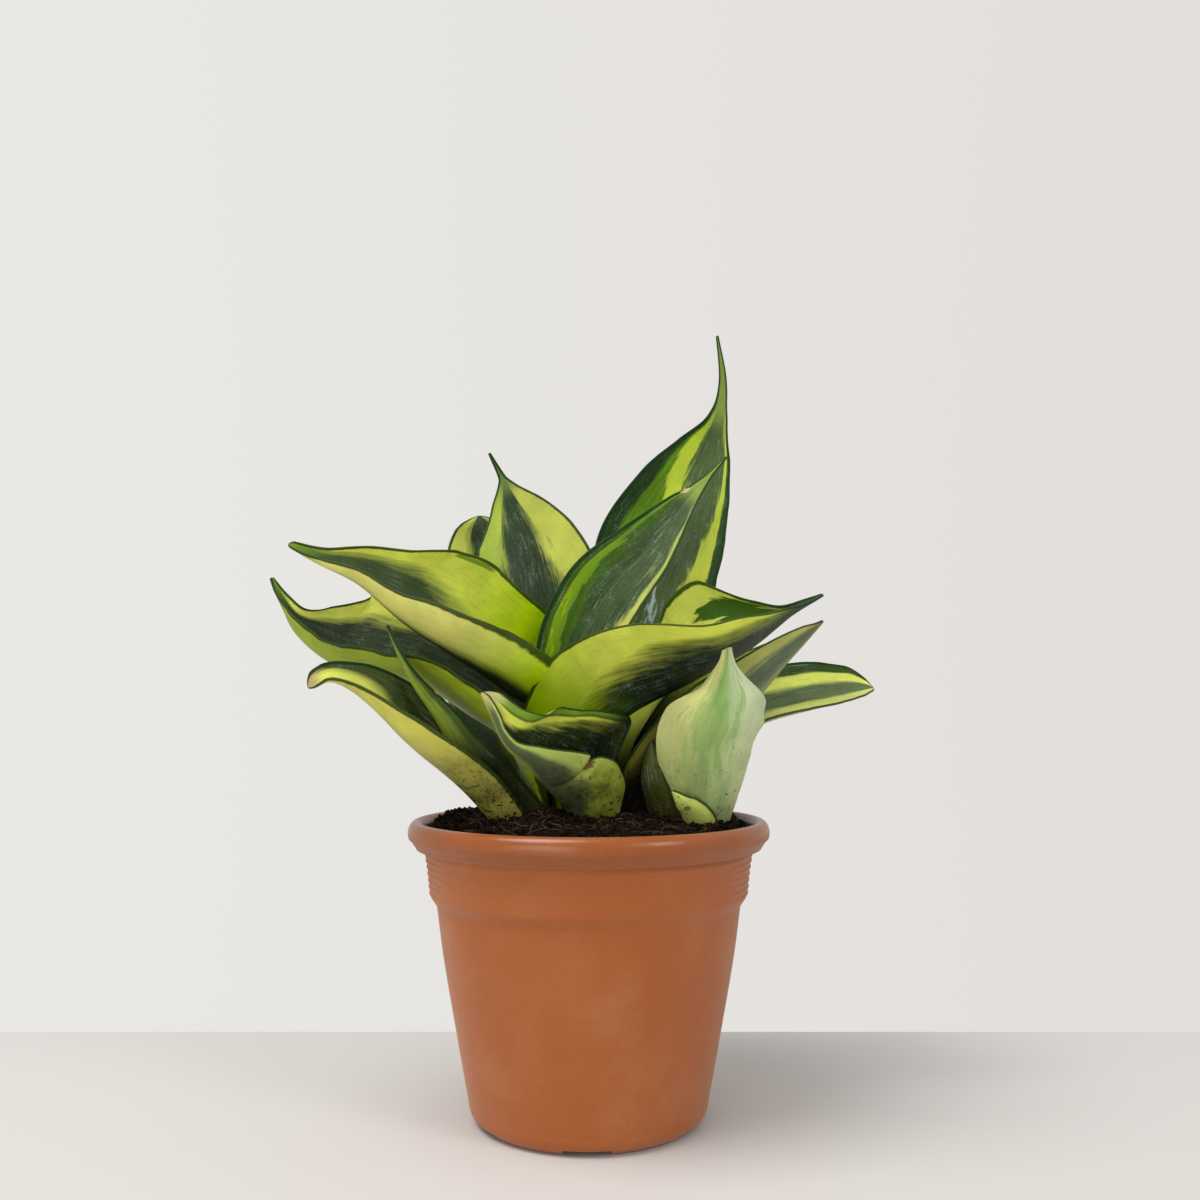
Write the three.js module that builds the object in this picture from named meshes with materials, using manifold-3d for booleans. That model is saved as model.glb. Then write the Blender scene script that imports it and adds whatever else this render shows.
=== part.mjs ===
// A dwarf bird's-nest snake plant in a ribbed terracotta-coloured pot.
// Millimetres, +Z up. The origin is the centre of the pot's foot, and -Y is the front.
import * as THREE from 'three';
import { mergeVertices } from 'three/addons/utils/BufferGeometryUtils.js';
import Module from 'manifold-3d';

// ---- driving dimensions ----
const RIM_RADIUS = 60;            // widest part of the rolled rim
const RIM_WIDEST_HEIGHT = 93;
const POT_HEIGHT = 98;            // top of the rolled rim
const MOUTH_RADIUS = 54.7;        // opening inside the rim
const LIP_BOTTOM_RADIUS = 58.2;
const LIP_BOTTOM_HEIGHT = 86.9;
const BAND_TOP_RADIUS = 54.9;     // ridged band, just under the lip
const BAND_TOP_HEIGHT = 84.4;
const BAND_BOTTOM_RADIUS = 51.4;
const BAND_BOTTOM_HEIGHT = 68.5;
const BAND_STEP = 1.3;            // how far the band stands out from the wall under it
const RIDGES = 6;
const RIDGE_DEPTH = 0.5;
const RIDGE_CREST = 0.3;          // places of its crest and groove as shares of the pitch
const RIDGE_GROOVE = 0.9;
const BASE_CORNER_RADIUS = 40.2;  // where the wall turns in to the foot
const BASE_CORNER_HEIGHT = 5;
const FOOT_RADIUS = 33.5;
const FOOT_WIDTH = 3;
const FOOT_HEIGHT = 2.4;          // the pot's floor is this far off the ground
const BASE_ROUND_STEPS = 3;       // facets of the round between foot and wall
const WALL = 2;
const FOOT_NOTCHES = 6;
const NOTCH_WIDTH = 13.5;
const NOTCH_HEIGHT = 1.8;
const NOTCH_LENGTH = 12;          // radially, so that it passes right through the foot
const DRAIN_HOLES = 6;
const DRAIN_RADIUS = 4;
const DRAIN_CIRCLE = 20;
const ROUND_SIDES = 40;
const DRAIN_SIDES = 12;
const ROLL_STEPS = 6;             // facets over the rolled rim

const CLEARANCE = 0.3;            // gap between pieces that lie against each other
const CUT_SMOOTHING = 0.1;        // a cut surface may be flattened by this much

const SOIL_EDGE_HEIGHT = 94.3;    // where the soil meets the pot
const SOIL_TOP_HEIGHT = 98.6;     // at the mounded middle
const SOIL_FLAT_RADIUS = 30;
const SOIL_FLAT_FALL = 0.6;       // how far the flat part falls from the middle
const SOIL_SHOULDER = 8;          // distance from the wall to where it is halfway up
const SOIL_BUMP = 0.7;            // height of the low unevenness of its surface
const SOIL_BUMP_PITCH = 17;
const SOIL_RIPPLE = 0.5;          // a finer unevenness across it, as shares of the first
const SOIL_RIPPLE_TURNS = 1.7;

const CROWN_CENTRE = [-4, 6];     // the rhizome's thick part under the rosette
const CROWN_RADIUS = 21;
const CROWN_TOP = 91;
const CROWN_DEPTH = 17;
const RUNNER_RADIUS = 5;          // the underground stem to the side shoot
const RUNNER_HEIGHT = 82;
const PUP_CENTRE = [36, -14];
const PUP_RADIUS = 9;
const PUP_DEPTH = 12;
const CROWN_FACETS = [16, 8];     // round and down
const PUP_FACETS = [12, 6];
const RUNNER_SIDES = 8;

const LEAF_THICKNESS = 2.6;       // at the midrib of the widest part
const LEAF_EDGE_SHARE = 0.4;      // the margin's thickness as a share of that
const LEAF_THINNEST = 0.8;
const SPINE_WIDTH = 1.2;          // no blade is narrower than this
const NARROW_SHARE = 0.35;        // a narrow part's thickness as a share of the widest part's
const EDGE_BEVEL = 0.5;           // a narrow part is at most this much thicker than it is wide
const CHANNEL_CURL = 0.5;         // how much of the fold is bent along the half blade
const FLAT_BELOW = 5;             // half widths under this lose their fold
const FLATTEN_POWER = 0.7;
const WAVE_OFFSET = 1.3;          // the right margin's waves come this much later, in radians
const WIDTH_STEPS = 6;
const LENGTH_STEPS = 13;

// Each leaf: path is its midrib from base to tip. width is [share of the length, full flattened
// width]. face is where the inner side looks, and fold is how steeply each half rises from flat,
// in degrees, both evenly spaced from base to tip. wave is the margin's ruffle, waves its count.
const LEAVES = {
  pup_leaf: {
    path: [[38, -14, 87], [37, -27, 105], [37, -37, 120], [39, -43, 132], [42, -46, 144], [44, -45, 153]],
    width: [[0, 16], [0.2, 28], [0.45, 37], [0.6, 37], [0.78, 24], [0.9, 8], [1, 2]],
    face: [[0, 1, 0.1], [0, 1, 0.1], [0, 0.8, -0.3]],
    fold: [40, 30, 25],
  },
  leaf_front_scarred: {
    path: [[-1, -10, 88], [-8, -18, 101], [-16, -28, 110], [-23, -38, 117], [-27, -44, 123], [-29, -46, 130],
      [-32, -45, 137]],
    width: [[0, 26], [0.25, 48], [0.45, 53], [0.62, 42], [0.78, 24], [0.9, 12], [1, 7]],
    face: [[0.8, -0.2, 0.5], [0.75, -0.3, 0.5], [0.7, -0.6, 0.3]],
    fold: [62, 64, 55],
  },
  leaf_front_right: {
    path: [[-3, -6, 89], [-4, -16, 116], [14, -25, 132], [33, -30, 142], [49, -32, 151], [64, -32, 162],
      [74, -31, 168]],
    width: [[0, 24], [0.2, 44], [0.4, 55], [0.6, 54], [0.75, 45], [0.88, 20], [1, 2]],
    face: [[-0.6, 0.6, 0.3], [-0.5, 0.5, 0.75], [-0.45, 0.12, 0.85], [-0.4, -0.5, 0.7], [-0.4, -0.5, 0.7]],
    fold: [50, 50, 50, 57, 50],
    wave: 0.8,
    waves: 5,
  },
  leaf_left_spike: {
    path: [[-13, -10, 90], [-25, -17, 105], [-35, -24, 116], [-44, -30, 129], [-53, -34, 140],
      [-58, -36, 149], [-62, -37, 158]],
    width: [[0, 22], [0.3, 26], [0.5, 24], [0.7, 14], [0.85, 6], [1, 1.2]],
    face: [[0.6, 0.5, 0.5], [0.5, 0.6, 0.5], [0.5, 0.6, 0.5]],
    fold: [50, 40, 30],
  },
  leaf_left_dry_tip: {
    path: [[-22, -10, 86], [-34, -19, 101], [-44, -27, 112], [-57, -34, 124], [-66, -39, 134],
      [-72, -42, 139], [-78, -44, 141], [-83, -45, 139]],
    width: [[0, 24], [0.25, 32], [0.5, 36], [0.65, 34], [0.8, 21], [0.9, 11], [1, 5]],
    face: [[0.4, 0.1, 0.8], [0.3, -0.1, 0.8], [0.2, -0.6, 0.7]],
    fold: [45, 40, 40],
  },
  leaf_centre: {
    path: [[-6, 1, 88], [-5, -3, 120], [-3, -5, 150], [6, -5, 170], [19, -4, 185], [30, -4, 199],
      [37, -4, 207], [48, -5, 219]],
    width: [[0, 18], [0.2, 28], [0.4, 33], [0.6, 34], [0.75, 21], [0.85, 8], [0.92, 3], [1, 1.2]],
    face: [[0, -1, 0.1], [-0.1, -1, 0.1], [-0.2, -1, 0.4]],
    fold: [50, 20, 20],
  },
  leaf_upper_left: {
    path: [[-8, 9, 89], [-14, 4, 126], [-28, -7, 140], [-45, -18, 152], [-59, -25, 162], [-72, -31, 173],
      [-84, -35, 178], [-93, -38, 183]],
    width: [[0, 26], [0.2, 48], [0.4, 62], [0.55, 62], [0.7, 48], [0.82, 28], [0.92, 12], [1, 3]],
    face: [[0.8, -0.4, 0.3], [0.3, -0.42, 0.78], [0.2, -0.6, 0.7]],
    fold: [60, 58, 48],
    wave: 0.5,
    waves: 6,
  },
  leaf_right_low: {
    path: [[15, -4, 87], [24, -7, 105], [38, -10, 122], [57, -13, 137], [69, -15, 148], [78, -15, 161]],
    width: [[0, 24], [0.3, 44], [0.5, 50], [0.7, 43], [0.85, 28], [1, 3]],
    face: [[-0.6, 0.1, 0.6], [-0.45, -0.1, 0.8], [-0.4, 0.1, 0.8]],
    fold: [50, 48, 40],
  },
  leaf_lower_left: {
    path: [[-11, 2, 89], [-25, -3, 120], [-40, -7, 132], [-56, -11, 141], [-70, -14, 144], [-83, -16, 148],
      [-94, -18, 157], [-100, -18, 167], [-104, -17, 175]],
    width: [[0, 24], [0.3, 44], [0.5, 50], [0.65, 48], [0.78, 38], [0.88, 20], [0.95, 8], [1, 2]],
    face: [[0.5, -0.7, 0.4], [0.3, -0.5, 0.75], [0.6, -0.4, 0.5]],
    fold: [55, 52, 45],
    wave: 0.8,
    waves: 6,
  },
  leaf_back_tall: {
    path: [[0, 15, 88], [6, 20, 125], [16, 24, 155], [26, 27, 188], [35, 28, 211], [42, 28, 227],
      [47, 27, 238], [48, 26, 270]],
    width: [[0, 22], [0.2, 40], [0.36, 46], [0.55, 42], [0.67, 33], [0.77, 19], [0.83, 6], [0.9, 3], [1, 1.2]],
    face: [[-0.1, -1, 0.1], [-0.25, -1, 0.1], [-0.2, -1, 0.1]],
    fold: [45, 24, 20],
  },
  leaf_back_left: {
    path: [[-7, 16, 88], [-11, 24, 132], [-15, 30, 165], [-21, 33, 194], [-29, 34, 210], [-34, 34, 218],
      [-39, 33, 228]],
    width: [[0, 22], [0.25, 38], [0.5, 48], [0.65, 48], [0.75, 35], [0.84, 16], [0.9, 6], [0.95, 3], [1, 1.2]],
    face: [[0.1, -1, 0.1], [0.1, -1, 0.1], [0.1, -1, 0.1]],
    fold: [45, 24, 20],
  },
  leaf_back_rounded: {
    path: [[-10, 22, 88], [-20, 34, 128], [-32, 44, 166], [-40, 49, 191], [-40, 50, 207]],
    width: [[0, 20], [0.3, 38], [0.6, 46], [0.85, 40], [0.95, 26], [1, 8]],
    face: [[0.3, -1, 0.1], [0.3, -1, 0.1], [0.2, -1, 0.1]],
    fold: [45, 24, 20],
  },
  leaf_right_back: {
    path: [[8, 8, 89], [28, 18, 110], [53, 28, 127], [74, 35, 134], [93, 38, 138], [106, 39, 140]],
    width: [[0, 20], [0.3, 34], [0.6, 42], [0.8, 38], [0.93, 26], [1, 4]],
    face: [[-0.6, -0.5, 0.8], [-0.2, -0.55, 0.8], [-0.1, -0.6, 0.8]],
    fold: [45, 30, 25],
  },
  pup_side_leaf: {
    path: [[27, -9, 88], [23, -12, 103], [20, -14, 113], [21, -13, 122]],
    width: [[0, 12], [0.3, 18], [0.6, 17], [0.85, 9], [1, 1.5]],
    face: [[0.6, 0.5, 0], [0.6, 0.5, 0], [0.6, 0.5, 0]],
    fold: [35, 30, 25],
  },
  pup_sheath: {
    path: [[38, -19, 88], [33, -26, 99], [30, -29, 101], [27, -30, 105]],
    width: [[0, 9], [0.4, 11], [0.7, 6], [1, 1.2]],
    face: [[0.3, 0.9, 0.3], [0.3, 0.9, 0.3], [0.3, 0.9, 0.3]],
    fold: [35, 30, 25],
  },
  leaf_behind_right: {
    path: [[4, 20, 88], [9, 34, 106], [16, 46, 124], [24, 55, 136], [31, 60, 140]],
    width: [[0, 20], [0.3, 34], [0.55, 40], [0.8, 26], [0.92, 10], [1, 2]],
    face: [[-0.1, -0.6, 0.6], [-0.2, -0.6, 0.8], [-0.2, -0.5, 0.8]],
    fold: [45, 35, 30],
  },
  leaf_behind_centre: {
    path: [[-8, 26, 88], [-13, 40, 104], [-20, 51, 118], [-28, 58, 130], [-35, 60, 141]],
    width: [[0, 20], [0.3, 32], [0.55, 38], [0.8, 26], [0.92, 10], [1, 2]],
    face: [[0.2, -0.6, 0.6], [0.3, -0.6, 0.8], [0.3, -0.5, 0.8]],
    fold: [45, 35, 30],
  },
  leaf_behind_left: {
    path: [[-16, 14, 88], [-31, 25, 106], [-44, 33, 124], [-55, 39, 142]],
    width: [[0, 20], [0.3, 32], [0.55, 36], [0.8, 24], [0.92, 10], [1, 2]],
    face: [[0.6, -0.5, 0.5], [0.6, -0.5, 0.6], [0.6, -0.5, 0.6]],
    fold: [45, 35, 30],
  },
};

// ---- materials ----
const LOOKS = {
  pot: { color: 0xb86f4b, roughness: 0.5 },
  soil: { color: 0x2b211b, roughness: 0.95 },
  rhizome: { color: 0xb08a4e, roughness: 0.7 },
  leaf: { color: 0x6f8f2f, roughness: 0.45 },
  pup: { color: 0xa8b78a, roughness: 0.45 },
};
const finish = (look) => new THREE.MeshStandardMaterial({ ...LOOKS[look], metalness: 0 });
const SAME_POINT = 1e-4;          // corners closer than this are one corner
const NEARLY_FLAT = 1e-6;         // keeps an unfolded blade from dividing by nothing

// ---- solids from closed geometry ----
const wasm = await Module();
wasm.setup();

function solidFrom(positions, triangles) {
  return new wasm.Manifold(new wasm.Mesh({
    numProp: 3, vertProperties: new Float32Array(positions), triVerts: new Uint32Array(triangles),
  }));
}

// A closed three.js geometry as a solid, without the empty triangles that lie on a lathe's axis.
function solidOf(geometry) {
  geometry.deleteAttribute('normal');
  geometry.deleteAttribute('uv');
  const merged = mergeVertices(geometry, SAME_POINT);
  const index = merged.index.array;
  const triangles = [];
  for (let k = 0; k < index.length; k += 3) {
    const [a, b, c] = [index[k], index[k + 1], index[k + 2]];
    if (a !== b && b !== c && c !== a) triangles.push(a, b, c);
  }
  return solidFrom(merged.attributes.position.array, triangles);
}

// What is left of a solid once its neighbours' rooms are cut from it, without loose scraps.
function cutBy(solid, rooms) {
  const bodies = rooms.reduce((rest, room) => rest.subtract(room), solid).decompose();
  const largest = bodies.reduce((best, body) => (body.volume() > best.volume() ? body : best), bodies[0]);
  return largest.asOriginal().simplify(CUT_SMOOTHING);
}

function meshOf(name, solid, material) {
  const { vertProperties, triVerts } = solid.getMesh();
  const geometry = new THREE.BufferGeometry();
  geometry.setAttribute('position', new THREE.BufferAttribute(new Float32Array(vertProperties), 3));
  geometry.setIndex(new THREE.BufferAttribute(new Uint32Array(triVerts), 1));
  geometry.computeVertexNormals();
  const mesh = new THREE.Mesh(geometry, material);
  mesh.name = name;
  return mesh;
}

// A solid of revolution about the Z axis from an outline of [radius, height] points.
function turned(outline, sides = ROUND_SIDES) {
  const geometry = new THREE.LatheGeometry(outline.map(([r, z]) => new THREE.Vector2(r, z)), sides);
  geometry.rotateX(Math.PI / 2);
  return geometry;
}

// ---- curves shared by the leaves ----

// A smooth curve through values spaced evenly from base to tip.
function evenCurve(values, share) {
  const last = values.length - 1;
  const place = Math.min(Math.max(share, 0), 1) * last;
  const k = Math.min(Math.floor(place), last - 1);
  const s = place - k;
  const before = k > 0 ? values[k - 1] : 2 * values[0] - values[1];
  const after = k < last - 1 ? values[k + 2] : 2 * values[last] - values[last - 1];
  const slopeStart = (values[k + 1] - before) / 2;
  const slopeEnd = (after - values[k]) / 2;
  return (2 * s ** 3 - 3 * s ** 2 + 1) * values[k] + (s ** 3 - 2 * s ** 2 + s) * slopeStart
    + (3 * s ** 2 - 2 * s ** 3) * values[k + 1] + (s ** 3 - s ** 2) * slopeEnd;
}

// A smooth curve through [share, value] pairs that never overshoots them.
function pairCurve(pairs, share) {
  const last = pairs.length - 1;
  const rise = pairs.slice(1).map(([x, y], k) => (y - pairs[k][1]) / (x - pairs[k][0]));
  const slope = pairs.map((pair, k) => {
    if (k === 0) return rise[0];
    if (k === last) return rise[last - 1];
    const product = rise[k - 1] * rise[k];
    return product <= 0 ? 0 : (2 * product) / (rise[k - 1] + rise[k]);
  });
  let k = 0;
  while (k < last - 1 && share >= pairs[k + 1][0]) k += 1;
  const span = pairs[k + 1][0] - pairs[k][0];
  const s = (share - pairs[k][0]) / span;
  return (2 * s ** 3 - 3 * s ** 2 + 1) * pairs[k][1] + (s ** 3 - 2 * s ** 2 + s) * span * slope[k]
    + (3 * s ** 2 - 2 * s ** 3) * pairs[k + 1][1] + (s ** 3 - s ** 2) * span * slope[k + 1];
}

// ---- one leaf ----

// A leaf is a channelled blade swept along its midrib. Each half rises from the midrib by an
// angle that grows towards the margin. grow thickens it on all sides, for the room that it needs.
function leafSolid({ path, width, face, fold, wave = 0, waves = 1 }, grow = 0) {
  const midrib = new THREE.CatmullRomCurve3(path.map((p) => new THREE.Vector3(...p)), false, 'catmullrom', 0.5);
  const widest = Math.max(...width.map(([, w]) => w)) / 2;
  const front = [];
  const back = [];
  for (let j = 0; j <= LENGTH_STEPS; j += 1) {
    const share = j / LENGTH_STEPS;
    const centre = midrib.getPointAt(share);
    const along = midrib.getTangentAt(share);
    if (j === 0) centre.addScaledVector(along, -grow);
    if (j === LENGTH_STEPS) centre.addScaledVector(along, grow);
    const look = new THREE.Vector3(...[0, 1, 2].map((axis) => evenCurve(face.map((f) => f[axis]), share)));
    const normal = look.addScaledVector(along, -look.dot(along)).normalize();
    const across = new THREE.Vector3().crossVectors(along, normal);
    const half = Math.max(pairCurve(width, share), SPINE_WIDTH) / 2;
    const flatten = Math.min(half / FLAT_BELOW, 1) ** FLATTEN_POWER;
    const angle = THREE.MathUtils.degToRad(evenCurve(fold, share)) * flatten;
    for (let i = 0; i <= WIDTH_STEPS; i += 1) {
      const u = (2 * i) / WIDTH_STEPS - 1;
      const side = Math.sign(u);
      const start = angle * (1 - CHANNEL_CURL);
      const bend = 2 * angle * CHANNEL_CURL + NEARLY_FLAT;
      const tilt = start + bend * Math.abs(u);
      const out = (Math.sin(tilt) - Math.sin(start)) / bend;
      const up = (Math.cos(start) - Math.cos(tilt)) / bend;
      const [lean, rise] = [Math.sin(tilt), Math.cos(tilt)];
      const skin = across.clone().multiplyScalar(-lean * side).addScaledVector(normal, rise);
      const edge = across.clone().multiplyScalar(rise * side).addScaledVector(normal, lean);
      const ruffle = wave * Math.abs(u) ** 3 * Math.min(half / widest, 1)
        * Math.sin(2 * Math.PI * waves * share + (u > 0 ? WAVE_OFFSET : 0));
      const taper = NARROW_SHARE + ((1 - NARROW_SHARE) * half) / widest;
      const full = LEAF_THICKNESS * (1 - (1 - LEAF_EDGE_SHARE) * u * u) * taper;
      const thickness = Math.max(Math.min(full, half + EDGE_BEVEL), LEAF_THINNEST) / 2 + grow;
      const middle = centre.clone().addScaledVector(across, half * out * side)
        .addScaledVector(normal, half * up).addScaledVector(skin, ruffle);
      if (Math.abs(u) === 1) middle.addScaledVector(edge, grow);
      front.push(middle.clone().addScaledVector(skin, thickness));
      back.push(middle.clone().addScaledVector(skin, -thickness));
    }
  }
  return closedBlade(front, back);
}

// Joins the inner and outer skins of a blade, split alike, into one closed solid.
function closedBlade(front, back) {
  const columns = WIDTH_STEPS + 1;
  const count = front.length;
  const positions = [...front, ...back].flatMap((p) => [p.x, p.y, p.z]);
  const triangles = [];
  const add = (...corners) => triangles.push(...corners);
  for (let j = 0; j < LENGTH_STEPS; j += 1) {
    for (let i = 0; i < WIDTH_STEPS; i += 1) {
      const a = j * columns + i;
      const [b, c, d] = [a + 1, a + columns + 1, a + columns];
      add(a, b, c, a, c, d);
      add(count + a, count + c, count + b, count + a, count + d, count + c);
    }
    const left = j * columns;
    const right = left + WIDTH_STEPS;
    add(left, left + columns, count + left, left + columns, count + left + columns, count + left);
    add(right, count + right, right + columns, right + columns, count + right, count + right + columns);
  }
  const tip = LENGTH_STEPS * columns;
  for (let i = 0; i < WIDTH_STEPS; i += 1) {
    add(i, count + i, i + 1, i + 1, count + i, count + i + 1);
    const t = tip + i;
    add(t, t + 1, count + t, t + 1, count + t + 1, count + t);
  }
  return solidFrom(positions, triangles);
}

// ---- pot ----

function bandOutline() {
  const points = [];
  const pitch = (BAND_TOP_HEIGHT - BAND_BOTTOM_HEIGHT) / RIDGES;
  const lean = (BAND_TOP_RADIUS - BAND_BOTTOM_RADIUS) / (BAND_TOP_HEIGHT - BAND_BOTTOM_HEIGHT);
  for (let k = 0; k < RIDGES; k += 1) {
    const low = BAND_BOTTOM_HEIGHT + k * pitch;
    const radius = BAND_BOTTOM_RADIUS + lean * (low - BAND_BOTTOM_HEIGHT);
    points.push([radius, low + RIDGE_CREST * pitch]);
    points.push([radius + (lean * pitch) / 2 - RIDGE_DEPTH, low + RIDGE_GROOVE * pitch]);
  }
  return points;
}

function rimOutline() {
  const centre = [(RIM_RADIUS + MOUTH_RADIUS) / 2, RIM_WIDEST_HEIGHT];
  const across = (RIM_RADIUS - MOUTH_RADIUS) / 2;
  const above = POT_HEIGHT - RIM_WIDEST_HEIGHT;
  return Array.from({ length: ROLL_STEPS + 1 }, (_, k) => {
    const turn = (k / ROLL_STEPS) * Math.PI;
    return [centre[0] + across * Math.cos(turn), centre[1] + above * Math.sin(turn)];
  });
}

// The round from the foot out and up to the wall.
function baseOutline() {
  return Array.from({ length: BASE_ROUND_STEPS + 1 }, (_, k) => {
    const turn = (k / BASE_ROUND_STEPS) * (Math.PI / 2);
    const out = BASE_CORNER_RADIUS - FOOT_RADIUS;
    return [FOOT_RADIUS + out * Math.sin(turn), BASE_CORNER_HEIGHT * (1 - Math.cos(turn))];
  });
}

// The pot's inner wall: radius at a height.
function innerRadius(height) {
  const low = [BASE_CORNER_RADIUS - WALL, BASE_CORNER_HEIGHT + WALL];
  const high = [BAND_TOP_RADIUS - WALL, BAND_TOP_HEIGHT];
  if (height > high[1]) {
    const share = Math.min((height - high[1]) / (RIM_WIDEST_HEIGHT - high[1]), 1);
    return high[0] + share * (MOUTH_RADIUS - high[0]);
  }
  return low[0] + ((height - low[1]) / (high[1] - low[1])) * (high[0] - low[0]);
}

function potSolid() {
  const wallUnderBand = BAND_BOTTOM_RADIUS - BAND_STEP;
  const floor = FOOT_HEIGHT + WALL;
  const outline = [
    [0, FOOT_HEIGHT],
    [FOOT_RADIUS - FOOT_WIDTH, FOOT_HEIGHT],
    [FOOT_RADIUS - FOOT_WIDTH, 0],
    ...baseOutline(),
    [wallUnderBand, BAND_BOTTOM_HEIGHT],
    ...bandOutline(),
    [BAND_TOP_RADIUS, BAND_TOP_HEIGHT],
    [LIP_BOTTOM_RADIUS, LIP_BOTTOM_HEIGHT],
    ...rimOutline(),
    [innerRadius(BAND_TOP_HEIGHT), BAND_TOP_HEIGHT],
    [innerRadius(BASE_CORNER_HEIGHT + WALL), BASE_CORNER_HEIGHT + WALL],
    [FOOT_RADIUS, floor],
    [0, floor],
  ];
  let pot = solidOf(turned(outline));
  for (let k = 0; k < FOOT_NOTCHES; k += 1) {
    const notch = new THREE.BoxGeometry(NOTCH_LENGTH, NOTCH_WIDTH, 2 * NOTCH_HEIGHT);
    notch.translate(FOOT_RADIUS, 0, 0);
    notch.rotateZ(-Math.PI / 2 + (k * 2 * Math.PI) / FOOT_NOTCHES);
    pot = pot.subtract(solidOf(notch));
  }
  for (let k = 0; k < DRAIN_HOLES; k += 1) {
    const hole = new THREE.CylinderGeometry(DRAIN_RADIUS, DRAIN_RADIUS, 4 * floor, DRAIN_SIDES);
    hole.rotateX(Math.PI / 2);
    hole.translate(DRAIN_CIRCLE, 0, 0);
    hole.rotateZ(((k + 0.5) * 2 * Math.PI) / DRAIN_HOLES);
    pot = pot.subtract(solidOf(hole));
  }
  return pot;
}

// ---- soil and rhizome ----

// The rhizome is a rounded crown, a runner and the side shoot's smaller crown, grown together.
function rhizomeSolid(grow = 0) {
  const ball = (facets, radius, depth, centre) => {
    const geometry = new THREE.SphereGeometry(1, ...facets);
    geometry.rotateX(Math.PI / 2);
    geometry.scale(radius + grow, radius + grow, depth / 2 + grow);
    geometry.translate(...centre, CROWN_TOP - depth / 2);
    return solidOf(geometry);
  };
  const crown = ball(CROWN_FACETS, CROWN_RADIUS, CROWN_DEPTH, CROWN_CENTRE);
  const pup = ball(PUP_FACETS, PUP_RADIUS, PUP_DEPTH, PUP_CENTRE);
  const start = new THREE.Vector3(...CROWN_CENTRE, RUNNER_HEIGHT);
  const end = new THREE.Vector3(...PUP_CENTRE, RUNNER_HEIGHT);
  const span = end.clone().sub(start);
  const thick = RUNNER_RADIUS + grow;
  const runner = new THREE.CylinderGeometry(thick, thick, span.length(), RUNNER_SIDES);
  runner.rotateZ(-Math.PI / 2);
  runner.rotateZ(Math.atan2(span.y, span.x));
  runner.translate(...start.clone().add(end).multiplyScalar(0.5).toArray());
  return crown.add(pup).add(solidOf(runner));
}

// Low unevenness of the soil's surface, fading out at the pot's wall.
function soilBump(x, y) {
  const fade = Math.max(0, 1 - (Math.hypot(x, y) / MOUTH_RADIUS) ** 4);
  const turn = (2 * Math.PI) / SOIL_BUMP_PITCH;
  const swell = Math.sin(turn * x) * Math.cos(turn * y);
  return SOIL_BUMP * fade * (swell + SOIL_RIPPLE * Math.sin(SOIL_RIPPLE_TURNS * turn * (x - y)));
}

function soilSolid() {
  const floor = FOOT_HEIGHT + WALL + CLEARANCE;
  const low = BASE_CORNER_HEIGHT + WALL;
  const side = (height) => [innerRadius(height) - CLEARANCE, height];
  const middle = (SOIL_EDGE_HEIGHT + SOIL_TOP_HEIGHT) / 2;
  const outline = [
    [0, floor], [FOOT_RADIUS - CLEARANCE, floor], side(low + CLEARANCE), side(BAND_TOP_HEIGHT),
    side(SOIL_EDGE_HEIGHT), [innerRadius(SOIL_EDGE_HEIGHT) - SOIL_SHOULDER, middle],
    [SOIL_FLAT_RADIUS, SOIL_TOP_HEIGHT - SOIL_FLAT_FALL], [SOIL_FLAT_RADIUS / 2, SOIL_TOP_HEIGHT],
    [0, SOIL_TOP_HEIGHT],
  ];
  const geometry = turned(outline);
  const points = geometry.attributes.position;
  for (let k = 0; k < points.count; k += 1) {
    const [x, y, z] = [points.getX(k), points.getY(k), points.getZ(k)];
    if (z > SOIL_EDGE_HEIGHT + SOIL_FLAT_FALL) points.setZ(k, z + soilBump(x, y));
  }
  return solidOf(geometry);
}

// ---- assembly ----
const plant = new THREE.Group();
const rooms = [];
for (const [name, leaf] of Object.entries(LEAVES)) {
  plant.add(meshOf(name, cutBy(leafSolid(leaf), rooms), finish(name.startsWith('pup') ? 'pup' : 'leaf')));
  rooms.push(leafSolid(leaf, CLEARANCE));
}
plant.add(meshOf('rhizome', cutBy(rhizomeSolid(), rooms), finish('rhizome')));
rooms.push(rhizomeSolid(CLEARANCE));
plant.add(meshOf('soil', cutBy(soilSolid(), rooms), finish('soil')));
plant.add(meshOf('pot', potSolid(), finish('pot')));

export default plant;
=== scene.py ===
"""A dwarf bird's-nest snake plant in a ribbed terracotta-coloured pot.

Lengths in the tables are in millimetres, as in the part's source, and become metres in each mesh.
The stage is in metres. +Z is up, -Y is the front, and the pot's foot stands at the origin.
"""
import math

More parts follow.
